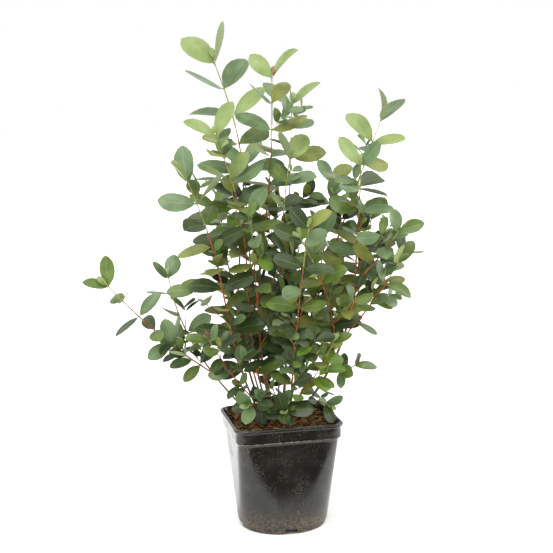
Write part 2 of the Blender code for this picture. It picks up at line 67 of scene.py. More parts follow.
shoots = {
    "tall_left": dict(foot=(-0.022, 0.012), tip=(-0.091, 0.039, 0.807),
        sway=-0.023, radius=0.0022, bare=0.12, leaf=0.080, spacing=0.045, turn=-35, fan=0.6,
        twigs=4, seed=10),
    "centre": dict(foot=(-0.004, 0.010), tip=(-0.001, -0.010, 0.780),
        bow=-0.022, sway=-0.012, radius=0.0022, bare=0.26, leaf=0.070, spacing=0.043, turn=-35,
        twigs=3, seed=19),
    "right": dict(foot=(0.016, 0.016), tip=(0.198, 0.021, 0.702),
        bow=-0.013, sway=-0.002, radius=0.0022, bare=0.18, leaf=0.072, spacing=0.042, turn=45,
        twigs=3, seed=25),
    "left": dict(foot=(-0.030, 0.000), tip=(-0.156, -0.060, 0.611),
        bow=-0.002, sway=-0.008, radius=0.0020, bare=0.16, leaf=0.070, spacing=0.040, turn=65,
        twigs=2, seed=38),
    "second_left": dict(foot=(-0.016, -0.004), tip=(-0.106, -0.040, 0.687),
        bow=0.006, sway=-0.012, radius=0.0020, bare=0.12, leaf=0.070, spacing=0.043, turn=-15,
        twigs=3, seed=50),
    "centre_back": dict(foot=(0.008, 0.026), tip=(0.048, 0.062, 0.734),
        bow=0.004, sway=0.002, radius=0.0019, bare=0.20, leaf=0.072, spacing=0.044, turn=-35,
        twigs=2, seed=59),
    "centre_front": dict(foot=(0.004, -0.002), tip=(0.021, -0.035, 0.643),
        bow=-0.004, sway=0.006, radius=0.0018, bare=0.13, leaf=0.062, spacing=0.042, turn=45,
        twigs=2, seed=70),
    "right_thick": dict(foot=(0.026, 0.000), tip=(0.138, -0.058, 0.631),
        bow=0.047, sway=0.010, radius=0.0027, bare=0.58, leaf=0.064, spacing=0.040, turn=-35,
        twigs=2, seed=72),
    "left_back": dict(foot=(-0.018, 0.028), tip=(-0.075, 0.127, 0.564),
        bow=-0.011, sway=0.001, radius=0.0018, bare=0.22, leaf=0.068, spacing=0.042, turn=45,
        twigs=1, seed=91),
    "front": dict(foot=(0.014, -0.014), tip=(0.030, -0.128, 0.535),
        bow=-0.004, radius=0.0018, bare=0.13, leaf=0.054, spacing=0.038, turn=-35, twigs=2,
        seed=94),
    "spray_left": dict(foot=(-0.036, -0.008), tip=(-0.182, 0.047, 0.442),
        bow=-0.030, radius=0.0019, bare=0.42, leaf=0.056, spacing=0.038, turn=65, twigs=1,
        seed=106),
    "back_left": dict(foot=(-0.008, 0.040), tip=(-0.020, 0.165, 0.625),
        bow=-0.010, radius=0.0019, bare=0.20, leaf=0.062, spacing=0.043, turn=-15, twigs=2,
        seed=121),
    "back_right": dict(foot=(0.018, 0.036), tip=(0.135, 0.125, 0.590),
        bow=0.010, radius=0.0019, bare=0.20, leaf=0.062, spacing=0.043, turn=25, twigs=1,
        seed=127),
    "back": dict(foot=(0.004, 0.052), tip=(0.057, 0.195, 0.480),
        bow=0.004, radius=0.0018, bare=0.22, leaf=0.056, spacing=0.042, turn=65, twigs=1,
        seed=137),
    "centre_side": dict(foot=("centre", 0.22), tip=(-0.057, -0.080, 0.559),
        lift=-0.006, radius=0.0012, bare=0, leaf=0.052, spacing=0.042, turn=5, twigs=1, seed=151),
    "left_low_side": dict(foot=("left", 0.12), tip=(-0.130, -0.060, 0.345),
        lift=-0.006, radius=0.0012, bare=0, leaf=0.044, spacing=0.036, turn=-35, twigs=0,
        seed=157),
    "right_inner": dict(foot=("right_thick", 0.24), tip=(0.022, -0.096, 0.514),
        bow=0.020, lift=-0.006, radius=0.0014, bare=0, leaf=0.052, spacing=0.042, turn=-35,
        twigs=1, seed=161),
    "right_behind": dict(foot=("right_thick", 0.30), tip=(0.113, 0.038, 0.474),
        lift=-0.006, radius=0.0013, bare=0, leaf=0.050, spacing=0.038, turn=65, twigs=1, seed=178),
    "right_outer": dict(foot=("right_thick", 0.54), tip=(0.191, -0.100, 0.518),
        lift=-0.004, radius=0.0012, bare=0, leaf=0.052, spacing=0.036, turn=-15, twigs=0,
        seed=188),
    "right_upper": dict(foot=("right_thick", 0.41), tip=(0.165, -0.023, 0.534),
        lift=-0.008, radius=0.0013, bare=0, leaf=0.058, spacing=0.040, turn=65, twigs=1, seed=192),
    "right_spray": dict(foot=("right_thick", 0.34), tip=(0.199, -0.071, 0.462),
        lift=-0.008, radius=0.0013, bare=0, leaf=0.054, spacing=0.037, turn=65, twigs=1, seed=204),
    "right_far": dict(foot=("right_thick", 0.48), tip=(0.232, 0.010, 0.468),
        lift=-0.010, radius=0.0012, bare=0, leaf=0.052, spacing=0.038, turn=5, twigs=0, seed=212),
    "right_low": dict(foot=("right_thick", 0.20), tip=(0.126, -0.048, 0.283),
        lift=-0.006, radius=0.0011, bare=0, leaf=0.046, spacing=0.032, turn=45, twigs=0, seed=222),
    "fresh_front": dict(foot=("front", 0.10), tip=(0.081, -0.078, 0.333),
        lift=-0.010, radius=0.0010, bare=0, leaf=0.042, spacing=0.034, turn=-15, twigs=0,
        seed=237),
    "spray_far_left": dict(foot=("spray_left", 0.36), tip=(-0.292, -0.012, 0.440),
        lift=-0.010, radius=0.0014, bare=0, leaf=0.054, spacing=0.036, turn=5, twigs=0, seed=251),
    "low_front": dict(foot=("front", 0.05), tip=(-0.004, -0.066, 0.214),
        lift=0.002, radius=0.0011, bare=0, leaf=0.046, spacing=0.020, turn=5, twigs=0, seed=260),
    "low_left": dict(foot=("second_left", 0.07), tip=(-0.062, -0.050, 0.226),
        lift=0.002, radius=0.0011, bare=0, leaf=0.046, spacing=0.020, turn=5, twigs=0, seed=263),
    "low_right": dict(foot=("right_thick", 0.08), tip=(0.078, -0.030, 0.212),
        lift=0.002, radius=0.0011, bare=0, leaf=0.042, spacing=0.024, turn=-15, twigs=0, seed=282),
    "low_back": dict(foot=("back", 0.08), tip=(0.000, 0.100, 0.235),
        lift=0.002, radius=0.0011, bare=0, leaf=0.042, spacing=0.026, turn=5, twigs=0, seed=288),
}
usual = dict(bow=0, sway=0, lift=0, fan=0.3)
for name in shoots:
    shoots[name] = {**usual, **shoots[name], "name": name}

growth = dict(
    stemStep=0.042, axisStep=0.080, footFlare=0.35, flareLength=0.012,
    tipRadius=0.0008, twigRadius=0.0009, twigSegments=2,
    leafWidth=0.52, leafLow=(0.34, 0.43, 0.006), leafHigh=(0.73, 0.46, 0.009),
    leafMiddle=(0.50, 0.037), rootSink=0.0006, guardStart=0.16, guardSpare=0.0009)

taken = []                      # (owner, lowest corner, highest corner, tree) of each piece


def unit(vector):
    return vector / np.linalg.norm(vector)


# everything a shape fills: its box and a tree of its faces
def spaceOf(points, faces):
    return points.min(axis=0), points.max(axis=0), BVHTree.FromPolygons(points.tolist(), faces)


# free: no piece placed so far crosses the space, apart from the owner's own
def isFree(space, owner=None, skip=-1):
    low, high, tree = space
    for place, (other, otherLow, otherHigh, otherTree) in enumerate(taken):
        if (place != skip and other != owner and (low < otherHigh).all()
                and (high > otherLow).all()):
            if tree.overlap(otherTree):
                return False
    return True


# foot plus share times the way to the tip, bent once by bow, twice by sway, up by lift
def centreLine(shoot, shares):
    shares = np.asarray(shares, float)
    foot = footOf(shoot)[0]
    points = foot + np.outer(shares, np.array(shoot["tip"]) - foot)
    hump = 4 * shares * (1 - shares)
    points[:, 0] += shoot["bow"] * hump + shoot["sway"] * np.sin(2 * math.pi * shares)
    points[:, 2] += shoot["lift"] * hump
    return points


def stemShares(shoot):
    length = lengthOf(shoot)
    count = max(3, round(length * shoot["bare"] / growth["stemStep"]))
    return [0, growth["flareLength"] / length, *np.linspace(0, shoot["bare"], count + 1)[1:]]


def axisShares(shoot):
    length = lengthOf(shoot)
    start = shoot["bare"] + gap / length if shoot["bare"] else 0
    return np.linspace(start, 1, max(2, round(length * (1 - start) / growth["axisStep"])) + 1)


# the point at a share of a line of straight stretches
def between(points, shares, share):
    return np.array([np.interp(share, shares, column) for column in points.T])


def directions(shoot, shares):
    shares = np.asarray(shares, float)
    step = centreLine(shoot, shares + 0.001) - centreLine(shoot, shares - 0.001)
    return step / np.linalg.norm(step, axis=1)[:, None]


def isSideShoot(shoot):
    return isinstance(shoot["foot"][0], str)


# on the soil facing up, or on the parent's bark facing square out of it
def footOf(shoot):
    if not isSideShoot(shoot):
        return np.array((*shoot["foot"], soilTop + gap)), np.array((0.0, 0.0, 1.0))
    parent, share = shoots[shoot["foot"][0]], shoot["foot"][1]
    shares = stemShares(parent)
    centre = between(centreLine(parent, shares), shares, share)
    along = directions(parent, [share])[0]
    outward = np.array(shoot["tip"]) - centre
    outward = unit(outward - outward.dot(along) * along)
    return centre + outward * (radiusAt(parent, share) + gap), outward


def lengthOf(shoot):
    points = centreLine(shoot, np.linspace(0, 1, 41))
    return np.linalg.norm(np.diff(points, axis=0), axis=1).sum()


# an even taper to the tip, wider just above the soil
def radiusAt(shoot, share):
    radius = growth["tipRadius"] + (shoot["radius"] - growth["tipRadius"]) * (1 - share)
    if not isSideShoot(shoot):
        height = share * (shoot["tip"][2] - soilTop)
        radius *= 1 + growth["footFlare"] * math.exp(-height / growth["flareLength"])
    return radius


def spareAxis(start, end):
    return (1, 0, 0) if abs(unit(end - start)[1]) > 0.75 else (0, 1, 0)


def outwardOf(angle, along, spare, fan=0):
    across = unit(np.cross(spare, along))
    return unit(across * math.cos(angle) + np.cross(along, across) * math.sin(angle) * (1 - fan))


# rings of points joined in order and closed by a cap at each end
def loft(rings):
    count = len(rings[0])
    faces = [tuple(range(count))[::-1]]
    for level in range(len(rings) - 1):
        for index in range(count):
            following = (index + 1) % count
            faces.append((level * count + index, level * count + following,
                          (level + 1) * count + following, (level + 1) * count + index))
    faces.append(tuple(range((len(rings) - 1) * count, len(rings) * count)))
    return np.concatenate(rings), faces


def plainTube(points, facing, radii, sides, turn=0):
    spare = spareAxis(points[0], points[-1])
    rings = []
    for point, ahead, radius in zip(points, facing, radii):
        corners = turn + (np.arange(sides) + 0.5) / sides * 2 * math.pi
        rings.append(np.array([point + radius * outwardOf(corner, unit(ahead), spare)
                               for corner in corners]))
    return loft(rings)


def stretch(shoot, shares, sides, firstFacing=None):
    facing = directions(shoot, shares)
    if firstFacing is not None:
        facing[0] = firstFacing
    radii = [radiusAt(shoot, share) for share in shares]
    return plainTube(centreLine(shoot, shares), facing, radii, sides, math.radians(shoot["turn"]))


def nodeShares(shoot):
    length = lengthOf(shoot)
    leafy = length * (1 - shoot["bare"])
    count = max(2, round(leafy / shoot["spacing"]))
    steps = (np.arange(count) + 0.75) / (count - 0.25)
    return 1 - (1 - shoot["bare"]) * (1 - steps) - np.where(steps >= 1, 0.004 / length, 0)


# straight along its heading, and rising with the square of the share
def twigPoints(start, heading, length, shares):
    shares = np.asarray(shares, float)[:, None]
    return start + heading * length * shares + np.array((0, 0, 0.28 * length)) * shares ** 2


def growTwigs(shoot, draw):
    twigs = []
    rings = axisShares(shoot)
    line = centreLine(shoot, rings)
    spare = spareAxis(line[0], line[-1])
    segments, thick = growth["twigSegments"], growth["guardSpare"]
    for index in range(shoot["twigs"]):
        share = shoot["bare"] + (1 - shoot["bare"]) * (
            0.06 + 0.5 * (index + draw.random()) / shoot["twigs"])
        angle = math.radians(shoot["turn"] + 90 * index)
        spread = math.radians(draw.uniform(38, 58))
        length = shoot["leaf"] * draw.uniform(1.0, 1.7) * (1.2 - share)
        along = directions(shoot, [share])[0]
        start = between(line, rings, share)
        for turn in (0, 180, 90, 270):
            outward = outwardOf(angle + math.radians(turn), along, spare)
            heading = along * math.cos(spread) + outward * math.sin(spread)
            points = twigPoints(start, heading, length, np.linspace(0, 1, segments + 1))
            facing = np.gradient(points, axis=0)
            radii = np.linspace(growth["twigRadius"], growth["tipRadius"] * 0.7, len(points))
            clear = twigPoints(start, heading, length, np.linspace(0.15, 1, segments + 1))
            outer = spaceOf(*plainTube(clear, facing, radii + thick, 4))
            whole = spaceOf(*plainTube(points, facing, radii + thick, 4))
            if isFree(outer) and isFree(whole, shoot["name"]):
                taken.append((shoot["name"], *whole))
                twigs.append((points, length, radii, heading))
                break
    return twigs


# root, four side points and tip, under one raised middle point
def guardBlade(base, ahead, upper, length, width, spare=0):
    side = np.cross(upper, ahead)
    low, high = growth["leafLow"], growth["leafHigh"]
    points = [base - ahead * growth["rootSink"], base + ahead * length]
    for (along, across, up), edge in ((low, -1), (high, -1), (high, 1), (low, 1)):
        points.append(base + ahead * along * length + upper * (up * length - spare)
                      + side * edge * across * width)
    along, up = growth["leafMiddle"]
    points.append(base + ahead * along * length + upper * (up * length + spare))
    outline = (0, 2, 3, 1, 4, 5)
    upperFaces = [(6, outline[index], outline[(index + 1) % 6]) for index in range(6)]
    return np.array(points), upperFaces + [(0, 5, 2), (2, 5, 4), (2, 4, 3), (3, 4, 1)]


# the first of four poses whose space is free, or none
def placeLeaf(owner, base, along, outward, pitch, roll, length):
    start, thick = growth["guardStart"], growth["guardSpare"]
    for steeper, smaller in ((1, 1), (0.7, 0.9), (1.3, 0.9), (0.85, 0.7)):
        ahead = along * math.cos(pitch * steeper) + outward * math.sin(pitch * steeper)
        upper = unit(along - along.dot(ahead) * ahead)
        upper = upper * math.cos(roll) + np.cross(ahead, upper) * math.sin(roll)
        size = length * smaller
        width = size * growth["leafWidth"]
        outer = spaceOf(*guardBlade(base + ahead * start * size, ahead, upper,
                                    size * (1 - start) + thick, width + 2 * thick, thick))
        whole = spaceOf(*guardBlade(base, ahead, upper, size, width, thick))
        if isFree(outer) and isFree(whole, owner):
            taken.append((owner, *whole))
            return dict(owner=owner, base=base, ahead=ahead, upper=upper, size=size,
                        place=len(taken) - 1)
    return None


def growPair(owner, base, along, spare, angle, fan, age, leaf, draw):
    leaves = []
    for side in (0, math.pi):
        turn = angle + side + draw.uniform(-0.2, 0.2)
        pitch = math.radians(80 - 38 * age ** 8) + draw.uniform(-0.2, 0.2)
        roll = draw.uniform(-0.5, 0.5)
        length = leaf * (0.78 + 0.5 * age - 0.36 * age ** 2) * draw.uniform(0.88, 1.1)
        outward = outwardOf(turn, along, spare, fan)
        placed = placeLeaf(owner, base, along, outward, pitch, roll, length)
        if placed:
            leaves.append({**placed, "age": age})
    return leaves


def growLeaves(shoot, twigs, draw):
    leaves = []
    rings, shares = axisShares(shoot), nodeShares(shoot)
    line = centreLine(shoot, rings)
    spare = spareAxis(line[0], line[-1])
    for index, share in enumerate(shares):
        base, along = between(line, rings, share), directions(shoot, [share])[0]
        angle = math.radians(shoot["turn"] + 90 * (len(shares) - 1 - index))
        age = index / (len(shares) - 1)
        leaves += growPair(shoot["name"], base, along, spare, angle, shoot["fan"], age,
                           shoot["leaf"], draw)
    for points, length, *_ in twigs:
        count = max(1, round(length / (0.7 * shoot["spacing"])))
        spare = spareAxis(points[0], points[-1])
        for index in range(count):
            share = 1 - 0.02 - index * 0.7 / count
            base = between(points, np.linspace(0, 1, len(points)), share)
            along = unit(points[-1] - points[-2] * share - points[0] * (1 - share))
            leaves += growPair(shoot["name"], base, along, spare, math.radians(90 * index), 0,
                               1 - 0.6 * index / count, 0.78 * shoot["leaf"], draw)
    return leaves


# sRGB hex to linear: the usual two-part curve
def linear(hexValue):
    parts = [int(hexValue[i:i + 2], 16) / 255 for i in (1, 3, 5)]
    return [c / 12.92 if c <= 0.04045 else ((c + 0.055) / 1.055) ** 2.4 for c in parts] + [1.0]


# settings go on the node, numbers and colours on its inputs, and a socket is linked to its input
def fill(tree, node, inputs, **settings):
    for key, value in settings.items():
        setattr(node, key, value)
    for key, value in inputs.items():
        if isinstance(value, bpy.types.NodeSocket):
            tree.links.new(value, node.inputs[key])
        else:
            node.inputs[key].default_value = value
    return node


def add(tree, kind, inputs=None, **settings):
    return fill(tree, tree.nodes.new("ShaderNode" + kind), inputs or {}, **settings)


def newMaterial(name, values):
    material = bpy.data.materials.new(name)
    material.use_nodes = True
    tree = material.node_tree
    return material, tree, fill(tree, tree.nodes["Principled BSDF"], values)


# cloudy noise of a real size in millimetres, spread between two limits to run from 0 to 1
def cloud(tree, place, millimetres, low=0.38, high=0.62, detail=3.0):
    noise = add(tree, "TexNoise", {"Vector": place, "Scale": 1000 / millimetres,
                                   "Detail": detail})
    return add(tree, "MapRange", {"Value": noise.outputs["Fac"], "From Min": low,
                                  "From Max": high}).outputs["Result"]


# grainy and dull: two tints and the relief follow one cloudy noise; sizes in millimetres
def grainyMaterial(name, tints, values, grain, detail, height, strength=1.0):
    material, tree, shader = newMaterial(name, values)
    at = add(tree, "TexCoord").outputs["Object"]
    grains = cloud(tree, at, grain, detail=detail)
    tint = add(tree, "Mix", {0: grains, 6: linear(tints[0]), 7: linear(tints[1])},
               data_type="RGBA")
    bump = add(tree, "Bump", {"Height": grains, "Distance": height / 1000,
                              "Strength": strength})
    fill(tree, shader, {"Base Color": tint.outputs[2], "Normal": bump.outputs["Normal"]})
    return material


# three slow sine waves that never fall in step, between -1 and 1
def wobble(x, y, z, seed=0.0):
    return (np.sin(x * 1.7 + y * 0.9 + seed) + np.sin(y * 2.3 - z * 1.1 + 2.1 * seed)
            + np.sin(z * 1.9 + x * 1.3 + 4.7 * seed)) / 3


# points and lists of faces in, one object at the origin out; slots matches the face lists
def meshPiece(name, points, faceSets, materials, slots=None, uv=None):
    mesh = bpy.data.meshes.new(name)
    points = np.ascontiguousarray(points, np.float32).reshape(-1, 3)
    corners = np.concatenate([faces.ravel() for faces in faceSets]).astype(np.int32)
    sizes = np.concatenate([np.full(len(faces), faces.shape[1]) for faces in faceSets])
    mesh.vertices.add(len(points))
    mesh.vertices.foreach_set("co", points.ravel())
    mesh.loops.add(len(corners))
    mesh.loops.foreach_set("vertex_index", corners)
    mesh.polygons.add(len(sizes))
    mesh.polygons.foreach_set("loop_start", (np.cumsum(sizes) - sizes).astype(np.int32))
    for material in materials:
        mesh.materials.append(material)
    if slots is not None:
        mesh.polygons.foreach_set("material_index", np.concatenate(slots).astype(np.int32))
    mesh.polygons.foreach_set("use_smooth", np.ones(len(sizes), bool))
    if uv is not None:
        layer = mesh.uv_layers.new(name="UVMap")
        layer.data.foreach_set("uv", np.asarray(uv, np.float32)[corners].ravel())
    mesh.update(calc_edges=True)
    piece = bpy.data.objects.new(name, mesh)
    bpy.context.scene.collection.objects.link(piece)
    return piece


# quads of a grid that closes on itself round its columns
def ringQuads(rows, columns):
    r, c = np.meshgrid(np.arange(rows - 1), np.arange(columns), indexing="ij")
    d = (c + 1) % columns
    return np.stack([r * columns + c, r * columns + d, (r + 1) * columns + d,
                     (r + 1) * columns + c], axis=-1).reshape(-1, 4)


# triangles that close the first and last ring on a middle point each
def capTriangles(rows, columns, lowPoint, highPoint):
    c = np.arange(columns)
    d = (c + 1) % columns
    top = (rows - 1) * columns
    low = np.stack([d, c, np.full(columns, lowPoint)], axis=1)
    high = np.stack([top + c, top + d, np.full(columns, highPoint)], axis=1)
    return np.concatenate([low, high])


# a closed piece from rings of equal size, with the first and last ring closed on their middles
def ringPiece(name, levels, material, order=1):
    points = np.stack(levels)
    rows, columns = points.shape[:2]
    ends = [points[0].mean(axis=0), points[-1].mean(axis=0)]
    every = np.concatenate([points.reshape(-1, 3), ends])
    quads = ringQuads(rows, columns)[:, ::order]
    caps = capTriangles(rows, columns, len(every) - 2, len(every) - 1)[:, ::order]
    return meshPiece(name, every, [quads, caps], [material])


def dress(piece, slot, *nodes):
    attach(piece, "root")
    if nodes:
        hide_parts(*nodes)


# pot: injection-moulded, square at the rim and round at the foot; sizes in metres, grains in mm
pot = dict(
    rimHalf=0.095, rimCorner=0.0245, height=0.192, lipHeight=0.006,
    collarHalf=0.0917, collarCorner=0.0225, collarBottom=0.166,
    bodyTopHalf=0.0885, bodyTopCorner=0.024, bodyBottomHalf=0.0785,
    footHalf=0.0752, footHeight=0.009, roundness=0.975, wall=0.0017, floor=0.0022,
    channelWidth=0.022, channelHeight=0.0078, channelStart=0.030,
    bodyRows=26, plastic="#1B1A17", dust="#45423A", speckColour="#8F8570", soilStain="#6A583E",
    smudge=34.0, speck=1.5, grit=5.0, scratch=2.6, gloss=0.14, rubbed=0.36,
    # fades by height: soil at the foot; the dust film, stronger up the collar to the rim's top
    # edge as a painted highlight; a narrow band at the ledge below the collar
    fades=((0.0, 0.045, 0.85, 0.0), (0.172, 0.192, 0.10, 0.50),
           (0.1652, 0.1668, 0.0, 1.0), (0.1668, 0.1680, 1.0, 0.0)))


def smoothStep(value, start, end):
    share = np.clip((value - start) / (end - start), 0, 1)
    return share * share * (3 - 2 * share)


# radius of a round-cornered square in a direction: the flat side, or the corner's arc
def squareRadius(angle, half, corner):
    x, y = np.abs(np.cos(angle)), np.abs(np.sin(angle))
    x, y = np.maximum(x, y), np.minimum(x, y)
    inner = half - corner
    reach = inner * (x + y)
    arc = reach + np.sqrt(np.maximum(reach ** 2 - 2 * inner ** 2 + corner ** 2, 0))
    return np.where(half * y <= inner * x, half / x, arc)


def bodyHalf(share):
    half = pot["bodyBottomHalf"] + (pot["bodyTopHalf"] - pot["bodyBottomHalf"]) * share
    corner = (pot["roundness"] * pot["bodyBottomHalf"] * (1 - share)
              + pot["bodyTopCorner"] * share)
    return half, corner


# the profile from the middle of the underside, up the outside, over the lip, down the inside;
# each row: half the width, corner radius, height, and which surface it lies on
def potProfile():
    rim, top, wall = pot["rimHalf"], pot["height"], pot["wall"]
    collar, corner, bottom = pot["collarHalf"], pot["collarCorner"], pot["collarBottom"]
    foot, low, lip = pot["footHalf"], pot["footHeight"], pot["height"] - pot["lipHeight"]
    roundness = pot["roundness"]
    rows = [(foot * share, roundness * foot * share, 0.0, "under")
            for share in (0.02, 0.2, 0.38, 0.42, 0.6, 0.8, 0.94)]
    rows += [(foot - inset, roundness * foot, height, kind) for inset, height, kind in (
        (0.0010, 0.0, "under"), (0.0003, 0.0004, "foot"), (0, 0.0012, "foot"),
        (0, low - 0.0015, "foot"), (-0.0006, low - 0.0004, "foot"))]
    for share in np.linspace(0, 1, pot["bodyRows"]):
        half, bodyCorner = bodyHalf(share)
        rows.append((half, bodyCorner, low + (bottom - 0.0006 - low) * share, "wall"))
    rows += [(collar - inset, corner, height, "wall") for inset, height in (
        (0.0010, bottom), (0.0003, bottom + 0.0005), (0, bottom + 0.0016), (0, 0.172),
        (0, 0.178), (0, 0.184), (-0.0006, lip))]
    rows += [(rim - inset, pot["rimCorner"], height, "wall") for inset, height in (
        (0.0012, lip + 0.0002), (0.0003, lip + 0.0008), (0, lip + 0.0018), (0, top - 0.0020),
        (0.0004, top - 0.0008), (0.0013, top - 0.0001))]
    rows += [(collar - wall + 0.0008, corner, top, "wall"),
             (collar - wall, corner - wall, top - 0.0008, "wall"),
             (collar - wall, corner - wall, bottom + wall, "wall")]
    for share in np.linspace(1, 0, 7):
        half, bodyCorner = bodyHalf(share)
        height = low + 2 * wall + (bottom - low - 2 * wall) * share
        rows.append((half - wall, bodyCorner - wall, height, "wall"))
    inside = foot - wall
    rows += [(inside * share, roundness * inside * share, pot["floor"], "floor")
             for share in (1.0, 0.8, 0.6, 0.42, 0.38, 0.2, 0.02)]
    return rows


# height of the drain channel over a place: full inside its width and beyond its start
def channelHeight(x, y, grow=0.0):
    half = pot["channelWidth"] / 2 + grow
    total = np.zeros_like(x)
    for along, across in ((np.abs(x), np.abs(y)), (np.abs(y), np.abs(x))):
        width = 1 - smoothStep(across, half - 0.0006, half + 0.0006)
        total = np.maximum(total, width * smoothStep(along, pot["channelStart"] - grow,
                                                     pot["channelStart"] - grow + 0.003))
    return total * pot["channelHeight"]


def buildPot(material):
    notch = math.degrees(math.asin(pot["channelWidth"] / 2 / pot["footHalf"]))
    close = np.concatenate([np.linspace(-notch - 1.0, -notch + 1.0, 6), [-3.0, 0.0, 3.0],
                            np.linspace(notch - 1.0, notch + 1.0, 6)])
    even = np.arange(notch + 3.0, 90 - notch - 1.5, 2.2)
    angle = np.radians(np.concatenate([quarter * 90 + np.concatenate([close, even])
                                       for quarter in range(4)]))
    levels = []
    for half, corner, height, kind in potProfile():
        radius = squareRadius(angle, half, corner)
        x, y = radius * np.cos(angle), radius * np.sin(angle)
        z = np.full_like(x, height)
        if kind == "under":
            z = channelHeight(x, y)
        elif kind == "foot":
            roof = channelHeight(x, y)
            z = roof + (pot["footHeight"] - roof) * height / pot["footHeight"]
        elif kind == "floor":
            z = height + channelHeight(x, y, pot["wall"])
        levels.append(np.stack([x, y, z], axis=1))
    points = np.stack(levels)
    # moulded walls are never quite flat: 0.15 mm of slow unevenness
    dent = wobble(points[..., 0] * 38, points[..., 1] * 38, points[..., 2] * 22, 1.3)
    inWall = (points[..., 2] > 0.012) & (points[..., 2] < 0.160)
    points[..., :2] *= (1 - 0.0016 * (0.5 + 0.5 * dent) * inWall)[..., None]
    return ringPiece("pot_shell", points, material)


# polished polypropylene: a tight highlight, dulled by rubbing, dust, soil and hair scratches;
# soil gathers at the foot, dust on the ledge below the collar, and a film of dust, stronger up the
# collar to the rim's top edge, is a painted highlight there
def blackPlastic():
    material, tree, shader = newMaterial("black_moulded_polypropylene", {"IOR": 1.49})
    at = add(tree, "TexCoord").outputs["Object"]
    level = add(tree, "SeparateXYZ", {"Vector": at}).outputs["Z"]
    foot, collar, ledge, ledgeEnd = [
        add(tree, "MapRange", {"Value": level, "From Min": low, "From Max": high,
                               "To Min": start, "To Max": end}).outputs["Result"]
        for low, high, start, end in pot["fades"]]
    drawn = add(tree, "Mapping", {"Vector": at, "Rotation": (0.5, 0.2, 0.9),
                                  "Scale": (1.0, 1.0, 0.06)}).outputs["Vector"]
    smudge, speck, patch, grit, scratch = [
        cloud(tree, place, grain, low, high, detail)
        for place, grain, low, high, detail in (
            (at, pot["smudge"], 0.45, 0.75, 5.0), (at, pot["speck"], 0.61, 0.70, 2.0),
            (at, pot["smudge"] * 0.8, 0.42, 0.70, 2.0), (at, pot["grit"], 0.40, 0.62, 5.0),
            (drawn, pot["scratch"], 0.70, 0.76, 1.0))]
    # the first mask: a film of dust over the pot, stronger up the collar to the rim's top edge,
    # where it is a painted highlight
    dustAndRimHighlight, specks, scratches, ledgeLine, soiled = [
        add(tree, "Math", {0: one, 1: other}, operation="MULTIPLY").outputs[0]
        for one, other in ((smudge, collar), (speck, patch), (scratch, patch),
                           (ledge, ledgeEnd), (grit, foot))]
    ledgeDust = add(tree, "Math", {0: ledgeLine, 1: grit},
                    operation="MULTIPLY").outputs[0]
    colour = linear(pot["plastic"])
    for amount, over in ((dustAndRimHighlight, pot["dust"]), (specks, pot["speckColour"]),
                         (scratches, pot["dust"]), (ledgeDust, pot["speckColour"]),
                         (soiled, pot["soilStain"])):
        colour = add(tree, "Mix", {0: amount, 6: colour, 7: linear(over)},
                     data_type="RGBA").outputs[2]
    rough = add(tree, "MapRange", {"Value": smudge, "To Min": pot["gloss"],
                                   "To Max": pot["rubbed"]}).outputs["Result"]
    dull = add(tree, "Math", {0: soiled, 1: 0.4, 2: rough},
               operation="MULTIPLY_ADD").outputs[0]
    bump = add(tree, "Bump", {"Height": smudge, "Distance": 0.00012, "Strength": 0.35})
    fill(tree, shader, {"Base Color": colour, "Roughness": dull, "Normal": bump.outputs["Normal"]})
    return material


# soil: bark compost, fine peat under loose chips and a little moss
soil = dict(top=0.180, flat=0.052, bank=0.005, bankTowards=150, chips=3600, seed=7,
            length=(0.003, 0.009), width=(0.3, 0.7), thick=(0.10, 0.28), rough=0.28,
            tilt=0.22, roll=0.35, rise=0.0016, peat=("#20140B", "#3C2817"),
            chipColours=(("#2A190C", "#442B15"), ("#522C14", "#744524"), ("#7E5C30", "#A07848"),
                         ("#352B1E", "#58493A"), ("#46491C", "#666A30")),
            chipShares=(0.30, 0.28, 0.22, 0.13, 0.07))


# radius of the soil's edge in a direction, just inside the collar
def soilEdge(angle):
    inset = pot["wall"] + gap
    return squareRadius(angle, pot["collarHalf"] - inset, pot["collarCorner"] - inset)


# flat in the middle, then an even slope to an edge banked to one side, with small lumps
def soilHeight(x, y):
    angle, radius = np.arctan2(y, x), np.hypot(x, y)
    out = np.clip((radius - soil["flat"]) / (soilEdge(angle) - soil["flat"]), 0, 1)
    bank = soil["bank"] * np.cos(angle - math.radians(soil["bankTowards"]))
    lumps = 0.0008 * wobble(x * 210, y * 190, x * 90 - y * 70, 2.0) * (radius > 0.012)
    return soil["top"] + bank * out + lumps - 0.0007


def buildSoil(material):
    angle = np.linspace(0, 2 * math.pi, 120, endpoint=False)
    levels = []
    for share in np.linspace(0.03, 1, 30):
        radius = soilEdge(angle) * share
        x, y = radius * np.cos(angle), radius * np.sin(angle)
        levels.append(np.stack([x, y, soilHeight(x, y)], axis=1))
    for share in (1.0, 0.75, 0.5, 0.25, 0.05):      # down the inside of the pot
        half, corner = bodyHalf(share)
        radius = squareRadius(angle, half - pot["wall"] - 3 * gap, corner - pot["wall"])
        height = pot["footHeight"] + 0.006 + (0.150 - pot["footHeight"]) * share
        levels.append(np.stack([radius * np.cos(angle), radius * np.sin(angle),
                                np.full_like(angle, height)], axis=1))
    return ringPiece("compost_bed", levels, material, order=-1)     # its rings run downwards


